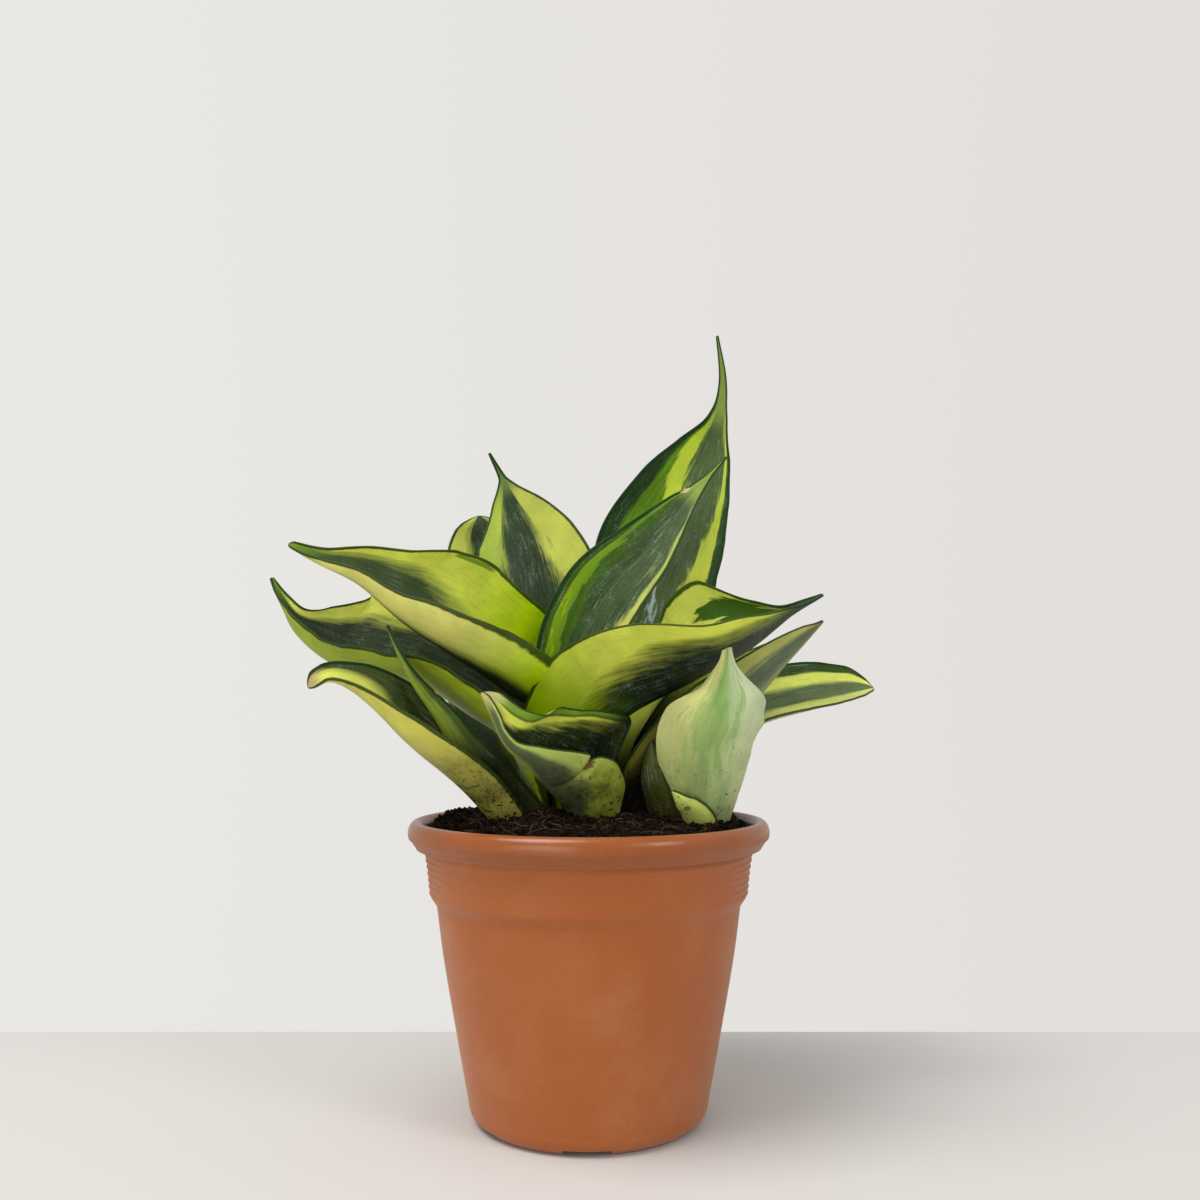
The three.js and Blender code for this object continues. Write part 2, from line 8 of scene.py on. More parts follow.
import bpy
import numpy as np
from bpy.props import FloatProperty, FloatVectorProperty, IntProperty, PointerProperty
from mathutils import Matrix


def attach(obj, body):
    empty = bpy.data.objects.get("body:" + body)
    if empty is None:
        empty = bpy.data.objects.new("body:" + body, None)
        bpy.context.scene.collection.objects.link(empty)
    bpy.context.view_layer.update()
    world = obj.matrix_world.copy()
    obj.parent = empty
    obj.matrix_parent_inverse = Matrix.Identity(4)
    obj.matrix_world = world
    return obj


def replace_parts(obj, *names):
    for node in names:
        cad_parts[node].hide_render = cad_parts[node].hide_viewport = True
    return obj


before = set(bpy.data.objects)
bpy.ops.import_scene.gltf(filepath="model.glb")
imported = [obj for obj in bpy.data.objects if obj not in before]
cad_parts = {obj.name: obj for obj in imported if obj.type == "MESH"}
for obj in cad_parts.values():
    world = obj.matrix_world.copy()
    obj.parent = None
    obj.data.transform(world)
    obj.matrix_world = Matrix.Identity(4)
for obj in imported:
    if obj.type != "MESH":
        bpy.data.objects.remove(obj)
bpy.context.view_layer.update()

bl_info = {
    "name": "Potted snake plant",
    "version": (1, 0, 0),
    "blender": (4, 5, 0),
    "location": "View3D > Sidebar > Snake plant",
    "description": "A dwarf snake plant with yellow-banded leaves in a nursery pot",
    "category": "Add Mesh",
}

MM = 0.001
TURN = 2 * math.pi


# ---- colours, as they look in plain daylight ----

def tone(code):
    """The linear colour of a #rrggbb code, with its alpha."""
    parts = [int(code[k:k + 2], 16) / 255 for k in (1, 3, 5)]
    return opaque(p / 12.92 if p <= 0.04045 else ((p + 0.055) / 1.055) ** 2.4 for p in parts)


def opaque(colour):
    return tuple(colour) + (1.0,)


MARGIN = "#10300a"      # the thin line along every leaf's edge
DARK = "#35492a"        # the darkest green of a leaf's middle
GREY = "#566a47"        # the silvery green of a leaf's middle
FERN = "#3f6412"
MEADOW = "#6b8a1c"
LIME = "#96b516"
YELLOW = "#c3ca60"
STRAW = "#cccb7c"
OLIVE = "#8a8f35"
MOSS = "#74842a"
SHADE = "#1b240e"       # deep green of an inner face that little light reaches
SILVER = "#b4c2b6"      # the grains and streaks over a leaf's dark bands
PEAT = "#21150d"        # the specks of soil on a leaf's foot
PALE_GREEN = "#a5b57c"  # the last three are the side shoot's
PALE_YELLOW = "#bfc286"
SHOOT_GREEN = "#7f9a60"


# ---- curves ----

def even_curve(values, share):
    """Smooth curve through values spaced evenly from base to tip, by cubic pieces whose slope at
    each value is half the difference of its neighbours."""
    values = np.asarray(values, float)
    if values.ndim == 2:
        return np.stack([even_curve(column, share) for column in values.T], axis=-1)
    last = len(values) - 1
    ends = np.concatenate([[2 * values[0] - values[1]], values, [2 * values[-1] - values[-2]]])
    place = np.clip(share, 0, 1) * last
    k = np.minimum(place.astype(int), last - 1)
    slope, next_slope = (ends[k + 2] - ends[k]) / 2, (ends[k + 3] - ends[k + 1]) / 2
    return hermite(place - k, ends[k + 1], ends[k + 2], slope, next_slope)


def pair_curve(pairs, share):
    """Smooth curve through [share, value] pairs that never overshoots them: the slope at a pair is
    the harmonic mean of the slopes beside it, or level where they turn. Two plain numbers stand for
    the values at shares 0 and 1."""
    if np.ndim(pairs) == 1:
        pairs = [[0, pairs[0]], [1, pairs[1]]]
    x, y = np.asarray(pairs, float).T
    rise = np.diff(y) / np.diff(x)
    product = rise[:-1] * rise[1:]
    total = np.where(product > 0, rise[:-1] + rise[1:], 1)
    slope = np.concatenate([rise[:1], np.where(product > 0, 2 * product / total, 0), rise[-1:]])
    share = np.clip(share, x[0], x[-1])
    k = np.clip(np.searchsorted(x, share, side="right") - 1, 0, len(x) - 2)
    span = x[k + 1] - x[k]
    return hermite((share - x[k]) / span, y[k], y[k + 1], span * slope[k], span * slope[k + 1])


def hermite(s, start, end, slope_start, slope_end):
    """Cubic from start to end as s goes from 0 to 1, leaving and arriving at the given slopes."""
    return ((2 * s**3 - 3 * s**2 + 1) * start + (s**3 - 2 * s**2 + s) * slope_start
            + (3 * s**2 - 2 * s**3) * end + (s**3 - s**2) * slope_end)


def along_path(points, shares):
    """A smooth path through the points, read at shares of its length: places, directions and
    length. A direction is the chord between two places just before and just after its own."""
    fine, near = 1200, 0.004
    dense = even_curve(points, np.linspace(0, 1, fine))
    steps = np.linalg.norm(np.diff(dense, axis=0), axis=1)
    reached = np.concatenate([[0], np.cumsum(steps)])

    def read(s):
        return np.stack([np.interp(s * reached[-1], reached, axis) for axis in dense.T], axis=-1)

    before, after = np.clip(shares - near, 0, 1), np.clip(shares + near, 0, 1)
    return read(shares), unit(read(after) - read(before)), reached[-1]


def unit(vectors):
    return vectors / np.linalg.norm(vectors, axis=-1, keepdims=True)


def smooth_step(x, low, high):
    """0 below low, 1 above high, and a smooth S between them."""
    s = np.clip((x - low) / (high - low), 0, 1)
    return s * s * (3 - 2 * s)


# Large factors that scatter the numbers of a lattice's corners
SCATTER, SEED_FACTOR, LAST_FACTOR = (374761393, 1103515245, 2246822519), 668265263, 1274126177


def lumps(points, pitch, seed):
    """Smooth seeded unevenness between -1 and 1: random values on a square lattice of the given
    pitch, blended between its corners by the smooth step, for points of 2 or 3 numbers each."""
    points = np.asarray(points, float) / pitch
    corner = np.floor(points).astype(np.int64)
    part = points - corner
    part = part * part * (3 - 2 * part)
    total = 0
    for offset in np.ndindex(*(2,) * points.shape[-1]):
        cell = corner + np.array(offset)
        number = np.int64(seed) * SEED_FACTOR
        for axis, factor in zip(range(points.shape[-1]), SCATTER):
            number = number + cell[..., axis] * factor
        number = (number ^ (number >> 13)) * LAST_FACTOR
        value = ((number ^ (number >> 16)) & 0xFFFF) / 32767.5 - 1
        weight = np.prod(np.where(np.array(offset) == 1, part, 1 - part), axis=-1)
        total = total + weight * value
    return total


# ---- meshes ----

def new_piece(name, points, faces, material, attributes=None):
    """A closed smooth mesh in place, riding on the frame's body."""
    mesh = bpy.data.meshes.new(name)
    corners = np.asarray(faces, np.int32)
    mesh.vertices.add(len(points))
    mesh.vertices.foreach_set("co", np.asarray(points, np.float32).ravel())
    mesh.loops.add(corners.size)
    mesh.loops.foreach_set("vertex_index", corners.ravel())
    mesh.polygons.add(len(corners))
    starts = np.arange(0, corners.size, corners.shape[1], dtype=np.int32)
    mesh.polygons.foreach_set("loop_start", starts)
    mesh.polygons.foreach_set("use_smooth", np.ones(len(corners), bool))
    mesh.update(calc_edges=True)
    for label, values in (attributes or {}).items():
        layer = mesh.attributes.new(label, "FLOAT", "POINT")
        layer.data.foreach_set("value", np.asarray(values, np.float32).ravel())
    if mesh.validate():
        raise RuntimeError(f"{name} has broken faces")
    mesh.materials.append(material)
    piece = bpy.data.objects.new(name, mesh)
    bpy.context.scene.collection.objects.link(piece)
    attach(piece, "root")
    return piece


def tube_faces(rings, sides):
    """Triangles of a closed tube: rings of points joined in order, with a pole at each end. The
    poles are the last two points."""
    ring, side = np.meshgrid(np.arange(rings - 1), np.arange(sides), indexing="ij")
    ring, side = ring.ravel(), side.ravel()
    after = (side + 1) % sides
    a, b = ring * sides + side, ring * sides + after
    d, c = a + sides, b + sides
    first, last = rings * sides, rings * sides + 1
    s = np.arange(sides)
    e = (s + 1) % sides
    end = (rings - 1) * sides
    return np.concatenate([
        np.stack([a, b, c], 1), np.stack([a, c, d], 1),
        np.stack([np.full(sides, first), e, s], 1),
        np.stack([np.full(sides, last), end + s, end + e], 1),
    ])


def repeated(faces, points_each, count):
    """The faces of one small shape, again for each copy, where the copies' points follow one
    another."""
    return (faces[None] + (np.arange(count) * points_each)[:, None, None]).reshape(-1, 3)


def turned(outline, sides, warp=None):
    """A solid of revolution: the outline's [radius, height] points, from the axis at the bottom
    round to the axis at the top, carried round Z. warp may move the points of the grid."""
    outline = np.asarray(outline, float)
    angle = np.arange(sides) * TURN / sides
    radius, height = outline[1:-1, 0:1], outline[1:-1, 1:2]
    height = np.broadcast_to(height, (len(radius), sides))
    grid = np.stack([radius * np.cos(angle), radius * np.sin(angle), height], -1)
    if warp:
        grid = warp(grid)
    poles = np.array([[0, 0, outline[0, 1]], [0, 0, outline[-1, 1]]])
    return np.concatenate([grid.reshape(-1, 3), poles]) * MM, tube_faces(len(outline) - 2, sides)


# ---- finishes ----

MIX_SOCKETS = (0, 6, 7)     # a colour Mix node's share and its two colours
MIX_RESULT = 2


class Finish:
    """One material's nodes. Each method returns the socket that holds its result."""

    def __init__(self, name, **constants):
        self.material = bpy.data.materials.new(name)
        self.material.use_nodes = True
        self.tree = self.material.node_tree
        self.tree.nodes.clear()
        self.shader = self.tree.nodes.new("ShaderNodeBsdfPrincipled")
        output = self.tree.nodes.new("ShaderNodeOutputMaterial")
        self.tree.links.new(self.shader.outputs[0], output.inputs[0])
        self.place = self.node("TexCoord", output="Object")
        for key, value in constants.items():
            self.shader.inputs[key.replace("_", " ")].default_value = value

    def put(self, socket, value):
        """Link a socket to the value if that is a socket too, and otherwise set it."""
        if isinstance(value, bpy.types.NodeSocket):
            self.tree.links.new(value, socket)
        else:
            socket.default_value = value

    def drive(self, name, value):
        self.put(self.shader.inputs[name], value)

    def node(self, kind, inputs=(), output=0, **settings):
        """A new node with its settings, and its inputs as (name or number, value) pairs."""
        node = self.tree.nodes.new("ShaderNode" + kind)
        for key, value in settings.items():
            setattr(node, key, value)
        for key, value in inputs:
            self.put(node.inputs[key], value)
        return node.outputs[output]

    def math(self, operation, *values):
        return self.node("Math", enumerate(values), operation=operation)

    def add(self, first, second):
        return self.math("ADD", first, second)

    def times(self, first, second):
        return self.math("MULTIPLY", first, second)

    def attribute(self, name):
        return self.node("Attribute", output="Fac", attribute_name=name)

    def vector(self, x, y, z):
        return self.node("CombineXYZ", enumerate((x, y, z)))

    def height(self):
        return self.node("SeparateXYZ", [(0, self.place)], output="Z")

    def noise(self, scale, detail=2.0, rough=0.5, place=None):
        inputs = {"Vector": place or self.place, "Scale": scale, "Detail": detail,
                  "Roughness": rough}
        return self.node("TexNoise", inputs.items(), output="Fac")

    def between(self, value, low, high, from_=0.0, to=1.0):
        """value from low to high, as from_ to to, by a smooth step."""
        return self.node("MapRange", enumerate((value, low, high, from_, to)),
                         interpolation_type="SMOOTHSTEP")

    def around(self, value, spread):
        """A noise's value about its middle, stretched to the given spread."""
        return self.times(self.math("SUBTRACT", value, 0.5), spread)

    def mix(self, share, first, second, mode="MIX"):
        return self.node("Mix", zip(MIX_SOCKETS, (share, first, second)), MIX_RESULT,
                         data_type="RGBA", blend_type=mode)

    def shaded(self, colour, share):
        """The colour darkened or lightened by a share that varies over the surface."""
        return self.mix(1.0, colour, self.node("CombineColor", enumerate((share,) * 3)), "MULTIPLY")

    def richer(self, colour, saturation):
        """The colour made purer, where saturation is above 1."""
        return self.node("HueSaturation", [("Saturation", saturation), ("Color", colour)])

    def brightness(self, colour):
        return self.node("RGBToBW", [(0, colour)])

    def ramp(self, value, stops):
        """The colours of the (position, colour) stops, blended from stop to stop."""
        ramp = self.node("ValToRGB", [(0, value)], output="Color")
        elements = ramp.node.color_ramp.elements
        while len(elements) < len(stops):
            elements.new(0.5)
        for element, (position, _) in zip(elements, stops):
            element.position = position
        for element, (_, colour) in zip(elements, stops):
            element.color = colour
        return ramp

    def bump(self, height, depth, strength=1.0):
        inputs = {"Strength": strength, "Distance": depth, "Height": height}
        self.drive("Normal", self.node("Bump", inputs.items()))


# ---- leaves ----

# Every leaf is one entry, named as its node. Left and right are those of the inner side, seen with
# the tip up, and a share is of the leaf's length, from base to tip. Shape, in mm and degrees:
#   path     the midrib from base to tip
#   width    [share, full width when flattened]
#   face     where the inner side looks, and fold how steeply each half rises, both evenly spaced
#   curl     for each half, how much of the fold is bend: it rises from 1 - curl to 1 + curl of it
#   lean     along the length: the left half is 1 + lean of half the width, the right one 1 - lean
#   wave     the margin's ruffle, waves how many there are, and crimp its fine unevenness
#   notches  (share, -1 for the left margin or 1 for the right, depth and reach as shares)
# Colour:
#   inner    the inner side's bands from left to right: (tones near the base, tones near the tip,
#            borders between them), a border running between -1, the left margin, and 1, the right
#   outer    the same for the outer side, still from left to right of the inner one
#   ageing   the shares between which the tip's tones take over from the base's
#   soft     how far bands blend, and jag how ragged their borders are
#   silver   strength of the silvery grains
#   line     widths in mm of the dark margins, left and right
#   spine    the shares between which spine_tone takes over, as dry does for dry_tone
#   marks    (share, place across, reach along and across in mm, 1 for the inner side or 0 for the
#            outer one, tone), ragged by mottle and as strong as mark_share
#   soil_and_shade  how much soil and painted shade darken the foot, in soil_and_shade_tone,
#             and specks how bare it is of crumbs
#   deep     heights in metres between which light takes over from deep_shade
#   outer_shade  the least light on the outer side
THIN_LINE, NO_LINE = (0.65, 0.5), (0.05, 0.05)
USUAL_LEAF = dict(
    curl=(0.5, 0.5), lean=(0, 0), wave=0, waves=1, crimp=0.15, notches=[],
    ageing=(0.3, 0.75), soft=0.14, jag=0.5, silver=1.0, line=(THIN_LINE, THIN_LINE),
    spine_tone=MEADOW, marks=[], mottle=1.5, mark_share=0.85,
    soil_and_shade=0.65, soil_and_shade_tone="#33261a", specks=0.62,
    deep=(0.104, 0.136), deep_shade=0.2, outer_shade=0.75,
)
PLAIN_BACK = ([LIME, GREY, LIME], [YELLOW, GREY, YELLOW], [(-0.4, -0.5), (0.4, 0.5)])
LOW_LEAF = dict(
    fold=[45, 35, 30], spine=[0.88, 0.96],
    inner=([LIME, DARK, LIME], [YELLOW, GREY, YELLOW], [(-0.45, -0.5), (0.4, 0.5)]),
    outer=([LIME, DARK, LIME], [YELLOW, GREY, YELLOW], [(-0.3, -0.4), (0.3, 0.35)]),
)

LEAVES = {
    "leaf_back_tall": dict(
        path=[[0, 15, 88], [6, 20, 125], [16, 24, 155], [26, 27, 188], [35, 28, 211], [42, 28, 227],
              [47.5, 27, 240], [49.5, 27, 254], [47.5, 26, 271]],
        width=[[0, 22], [0.2, 40], [0.36, 51.5], [0.54, 50.5], [0.67, 39], [0.76, 23.5],
               [0.83, 8.5], [0.87, 4], [0.93, 2], [1, 0.5]],
        face=[[-0.1, -1, 0.1], [-0.25, -1, 0.1], [-0.2, -1, 0.1]],
        fold=[45, 24, 20],
        lean=[[0, 0], [0.36, -0.15], [0.45, -0.11], [0.55, -0.04], [0.7, -0.03], [0.8, -0.08],
              [0.87, 0], [1, 0]],
        inner=(["#22400f", "#557f15", "#b3bd4e", "#4c6038", "#b3bd4e", "#22400f"],
               ["#1f3c0e", "#587f16", "#9fb13c", "#465c30", "#9aaa40", "#24460f"],
               [[[0, -0.76], [0.45, -0.79], [0.55, -0.77], [0.62, -0.74], [0.7, -0.72],
                 [0.78, -0.78], [1, -0.85]],
                [[0, -0.5], [0.35, -0.4], [0.45, -0.3], [0.55, -0.22], [0.62, -0.3], [0.7, -0.52],
                 [0.78, -0.7], [1, -0.8]],
                [[0, -0.3], [0.35, -0.2], [0.45, -0.08], [0.55, 0.02], [0.62, 0.0], [0.7, -0.12],
                 [0.78, -0.24], [0.85, -0.4], [1, -0.6]],
                [[0, 0.3], [0.35, 0.36], [0.45, 0.44], [0.51, 0.52], [0.56, 0.61], [0.62, 0.73],
                 [0.7, 0.82], [1, 0.9]],
                [[0, 0.65], [0.45, 0.84], [0.56, 0.87], [0.62, 0.89], [0.7, 0.91], [1, 0.95]]]),
        outer=PLAIN_BACK, soft=0.1, jag=0.9, silver=0.9,
        line=([[0, 1.3], [0.8, 1.5], [0.9, 0.4], [1, 0.2]],
              [[0, 0.8], [0.7, 0.6], [0.85, 0.3], [1, 0.2]]),
        spine=[0.8, 0.86], spine_tone="#6f8437",
        # The pale blue-white marks are partly the leaf's silvery colour and partly a painted
        # highlight; the dark one beside them is grain.
        marks=[(0.43, 0.07, 16, 1.7, 1, "#a4b6ba"), (0.42, 0.14, 15, 0.6, 1, "#26352a"),
               (0.41, 0.2, 12, 0.8, 1, "#8fa2a4")],
        mottle=4.5, mark_share=0.8,
    ),
    "leaf_centre": dict(
        path=[[-6, 1, 88], [-5, -3, 120], [-4, -5, 150], [5, -5, 170], [18.5, -4, 185],
              [30, -4, 199], [37, -4, 207], [47, -5, 218]],
        width=[[0, 18], [0.2, 24], [0.4, 28], [0.55, 29], [0.7, 23], [0.83, 12], [0.9, 5],
               [0.95, 1.6], [1, 0.5]],
        face=[[0, -1, 0.1], [-0.1, -1, 0.1], [-0.2, -1, 0.4]],
        fold=[50, 20, 20],
        notches=[(0.88, -1, 0.12, 0.012)],
        inner=([FERN, "#93aa26", "#456c12", "#3c5529", "#b5ba62"],
               ["#3f660e", "#64852a", "#3f6412", "#40572f", "#9aa65a"],
               [[[0, -0.82], [0.5, -0.8], [0.8, -0.86], [1, -0.9]],
                [[0, -0.55], [0.5, -0.6], [0.8, -0.78], [1, -0.8]],
                [[0, -0.25], [0.6, -0.34], [0.8, -0.55], [1, -0.7]],
                [[0, 0.4], [0.35, 0.45], [0.45, 0.66], [0.55, 0.8], [0.7, 0.86], [0.85, 0.92],
                 [1, 0.95]]]),
        outer=PLAIN_BACK, ageing=(0.45, 0.75), soft=0.13, jag=1.1, silver=1.6,
        line=([[0, 1.1], [0.7, 1], [1, 0.3]], [[0, 0.4], [0.7, 0.4], [1, 0.2]]),
        spine=[0.84, 0.9], spine_tone="#7f9440",
        marks=[(0.88, -0.86, 1.6, 0.8, 1, "#c9c489"), (0.5, -0.68, 24, 2.0, 1, "#6a9117")],
        mottle=5,
    ),
    "leaf_back_left": dict(
        path=[[-7, 16, 88], [-11, 24, 132], [-15, 30, 165], [-22, 33, 194], [-29.5, 34, 210],
              [-33, 34, 218.5], [-38, 33, 228]],
        width=[[0, 22], [0.25, 40], [0.5, 48], [0.66, 45.5], [0.74, 40], [0.79, 32], [0.86, 17],
               [0.91, 5.5], [0.93, 2.4], [1, 0.5]],
        face=[[0.1, -1, 0.1], [0.1, -1, 0.1], [0.1, -1, 0.1]],
        fold=[45, 24, 20],
        lean=[[0, 0], [0.5, 0.05], [0.66, 0.07], [0.8, 0.13], [0.9, 0], [1, 0]],
        inner=(["#b3c45a", DARK, "#a8ae4b"], ["#9fb24e", "#314427", "#b2b956"],
               [[[0, -0.55], [0.6, -0.6], [0.8, -0.55], [1, -0.4]],
                [[0, 0.35], [0.6, 0.3], [0.8, 0.22], [1, 0.4]]]),
        outer=PLAIN_BACK, soft=0.16, jag=0.8, silver=1.5, line=((0.7, 0.5), (0.8, 0.7)),
        spine=[0.86, 0.92], spine_tone="#5f7a35",
        # The pale blue-grey streak is partly the leaf's silvery colour and partly a painted
        # highlight.
        marks=[(0.5, 0.22, 12, 2.2, 1, "#8598a0")],
        mottle=3,
    ),
    "leaf_back_rounded": dict(
        path=[[-10, 22, 88], [-19, 34, 128], [-32, 44, 166], [-41, 49, 191], [-43.5, 50, 207]],
        width=[[0, 20], [0.3, 36], [0.6, 40], [0.85, 34], [0.95, 22], [1, 7]],
        face=[[0.3, -1, 0.1], [0.3, -1, 0.1], [0.2, -1, 0.1]],
        fold=[45, 24, 20],
        inner=([LIME, "#2b3a22", "#7f9048"], ["#bcc662", "#34452a", "#8a9c50"],
               [[[0, -0.5], [0.7, -0.45], [1, -0.45]], (0.4, 0.5)]),
        outer=PLAIN_BACK, soft=0.16, jag=0.6, line=((0.9, 0.9), (0.9, 0.9)),
    ),
    "leaf_upper_left": dict(
        path=[[-8, 9, 89], [-14, 4, 126], [-28, -7, 139.5], [-45, -18, 150.8], [-59, -25, 160.6],
              [-72, -31, 171.8], [-84, -35, 177.7], [-93, -38, 183]],
        width=[[0, 26], [0.2, 46], [0.4, 57], [0.58, 58], [0.7, 50], [0.8, 30], [0.92, 11], [1, 3]],
        face=[[0.8, -0.4, 0.3], [0.3, -0.42, 0.78], [0.2, -0.6, 0.7]],
        fold=[60, 58, 48],
        lean=[[0, 0], [0.4, -0.04], [0.58, -0.15], [0.7, -0.18], [0.76, -0.22], [0.82, -0.14],
              [0.9, -0.02], [1, 0.1]],
        wave=0.5, waves=6, crimp=0.35,
        # The bright lime at the inner side's base is the leaf's lime made brighter as painted light
        # shining through the leaf.
        inner=([DARK, GREY, "#b8dc14"], [DARK, "#4b6036", "#d0da5c"],
               [(-0.3, -0.2),
                [[0, 0.15], [0.4, 0.22], [0.5, 0.3], [0.58, 0.38], [0.64, 0.48], [0.7, 0.6],
                 [0.78, 0.72], [0.86, 0.78], [0.92, 0.85], [1, 1]]]),
        outer=(["#a9ca12", "#2f4017", LIME], ["#d2d07a", "#2a361c", STRAW],
               [[[0, -0.62], [0.3, -0.48], [0.45, -0.38], [0.6, -0.3], [0.9, -0.2], [1, -0.3]],
                (0.3, 0.3)]),
        ageing=(0.35, 0.68), soft=0.2, jag=0.35, silver=1.3,
        line=([[0, 4], [0.3, 3.2], [0.5, 2.2], [0.65, 1.1], [1, 0.5]], (0.9, 0.7)),
        spine=[0.9, 1.0],
        marks=[(0.65, 0.95, 10, 0.9, 1, "#5f8a1e")],
        outer_shade=1.0,
    ),
    "leaf_lower_left": dict(
        path=[[-11, 2, 89], [-25, -3, 120], [-40, -7, 132], [-56, -11, 141], [-70, -14, 144],
              [-83, -16, 148], [-94, -18, 157], [-100, -18, 167], [-104, -17, 175]],
        width=[[0, 24], [0.3, 44], [0.5, 50], [0.65, 50], [0.72, 46], [0.78, 38.5], [0.85, 25],
               [0.9, 11], [0.95, 5.5], [1, 1.2]],
        face=[[0.5, -0.7, 0.4], [0.3, -0.5, 0.75], [0.6, -0.4, 0.5]],
        fold=[55, 52, 45],
        lean=[[0, 0], [0.5, -0.04], [0.65, -0.1], [0.73, -0.16], [0.8, -0.12], [0.86, -0.03],
              [0.92, 0.1], [1, 0.1]],
        wave=0.4, waves=6, crimp=0.5,
        inner=([DARK, "#47573a", "#c3d24f", FERN], [DARK, "#3d4b34", "#dfe86e", FERN],
               [(-0.2, -0.2),
                [[0, 0.5], [0.45, 0.66], [0.6, 0.72], [0.75, 0.68], [0.85, 0.56], [1, 0.4]],
                [[0, 0.75], [0.5, 0.88], [0.6, 0.94], [0.75, 1], [1, 1]]]),
        outer=(["#a8b93c", "#5c6c2a", MOSS], ["#8d9e36", "#5e6e2a", MOSS],
               [(-0.2, -0.08), (0.2, 0.2)]),
        soft=0.16, jag=0.4, silver=1.3,
        line=([[0, 1.2], [0.5, 0.8], [1, 0.6]], [[0, 1.2], [0.5, 1.1], [0.9, 0.8], [1, 0.5]]),
        spine=[0.9, 0.98], outer_shade=1.0,
    ),
    "leaf_left_dry_tip": dict(
        path=[[-22, -10, 86], [-34, -19, 101], [-44, -27, 112], [-57, -34, 124], [-66, -39, 134],
              [-72, -42, 139], [-78, -44, 141], [-84, -45, 138.5]],
        width=[[0, 20], [0.25, 29], [0.5, 33], [0.65, 32], [0.8, 22], [0.9, 12.5], [1, 6.5]],
        face=[[0.4, 0.1, 0.8], [0.3, -0.1, 0.8], [0.2, -0.6, 0.7]],
        fold=[45, 40, 40],
        lean=[[0, -0.1], [0.5, -0.1], [0.8, 0], [1, 0]],
        inner=(["#3a4527", "#414e26", "#414e26"], [YELLOW, YELLOW, "#414e26"],
               [(-0.5, -0.2), [[0, -0.3], [0.6, 0], [0.8, 0.45], [1, 0.7]]]),
        outer=(["#a3a052", "#8f8c46", OLIVE], ["#c2c05a", "#a8aa4c", OLIVE],
               [(-0.35, -0.3), (0.3, 0.3)]),
        soft=0.3, jag=0.5, line=((0.9, 0.8), (0.9, 0.8)), dry=[0.93, 0.985], dry_tone="#a59567",
        soil_and_shade=0.75, specks=0.54, outer_shade=1.0,
    ),
    "leaf_left_spike": dict(
        path=[[-17, -11, 90], [-31, -18, 105], [-40, -25, 116], [-47, -30, 129], [-54, -34, 140],
              [-58.5, -36, 149], [-62, -37, 158]],
        width=[[0, 18], [0.3, 20], [0.42, 17], [0.52, 12.5], [0.62, 9.2], [0.72, 6.5], [0.85, 3.2],
               [1, 0.8]],
        face=[[0.6, 0.5, 0.5], [0.5, 0.6, 0.5], [0.5, 0.6, 0.5]],
        fold=[50, 40, 30],
        lean=[[0, 0], [0.4, 0.1], [0.6, 0.3], [0.75, 0.3], [1, 0]],
        notches=[(0.5, 1, 0.12, 0.012), (0.62, 1, 0.15, 0.01), (0.7, -1, 0.12, 0.01)],
        inner=(["#303a1b", "#3a4520", "#303a1b"], ["#3d4c22", "#6f8840", "#3d4a24"],
               [(-0.4, -0.4), (0.4, 0.4)]),
        outer=(["#343e1c", "#46522a", "#2c3518"], ["#4f642b", "#93a44a", "#46582a"],
               [(-0.5, -0.6), (0.5, 0.6)]),
        ageing=(0.35, 0.6), soft=0.3, jag=0.4, silver=0.5, line=((0.8, 0.5), (0.8, 0.5)),
        spine=[0.75, 0.95], spine_tone="#66823a", specks=0.58, outer_shade=1.0,
    ),
    "leaf_front_scarred": dict(
        path=[[-1, -10, 88], [-8, -18, 101], [-14, -27, 109], [-20, -36, 116], [-25, -43, 122],
              [-28.5, -46, 130], [-32, -45, 137]],
        width=[[0, 22], [0.1, 27], [0.2, 37], [0.28, 50], [0.35, 59], [0.5, 47], [0.65, 31],
               [0.75, 22], [0.82, 16], [0.88, 12], [1, 7]],
        face=[[0.7, -0.25, 0.7], [0.7, -0.28, 0.7], [0.75, -0.4, 0.5]],
        fold=[74, 80, 68], curl=(0.6, 0.2),
        lean=[[0, 0.2], [0.1, 0.26], [0.2, 0.22], [0.28, 0], [0.35, -0.15], [0.5, -0.26],
              [0.65, -0.42], [0.75, -0.62], [0.82, -0.62], [0.88, -0.4], [1, -0.1]],
        notches=[(0.43, -1, 0.16, 0.012)],
        inner=([SHADE, SHADE, "#2f3d12", SHADE, SHADE],
               [SHADE, "#2a3a14", "#d2da60", "#5f7f28", "#7c9c3c"],
               [(0, -0.3),
                [[0, 0.9], [0.5, 0.86], [0.6, 0.78], [0.7, 0.6], [0.8, 0.36], [0.9, 0.1], [1, 0]],
                [[0, 0.94], [0.5, 0.9], [0.65, 0.84], [0.75, 0.7], [0.85, 0.6], [1, 0.6]],
                [[0, 0.96], [0.5, 0.93], [0.65, 0.89], [0.75, 0.77], [0.85, 0.68], [1, 0.7]]]),
        outer=(["#93a042", "#59653d", "#56623a"], ["#a9b862", "#5f6b49", "#9cad58"],
               [[[0, -0.15], [0.2, -0.35], [0.35, -0.55], [0.5, -0.72], [0.7, -0.76], [1, -0.9]],
                [[0, 0.2], [0.4, 0.1], [0.55, -0.2], [1, -0.4]]]),
        ageing=(0.34, 0.54), soft=0.2, jag=0.5, silver=1.2,
        line=([[0, 0.3], [0.6, 0.3], [1, 0.2]], (0.3, 0.2)),
        dry=[0.88, 0.97], dry_tone="#b3b06e",
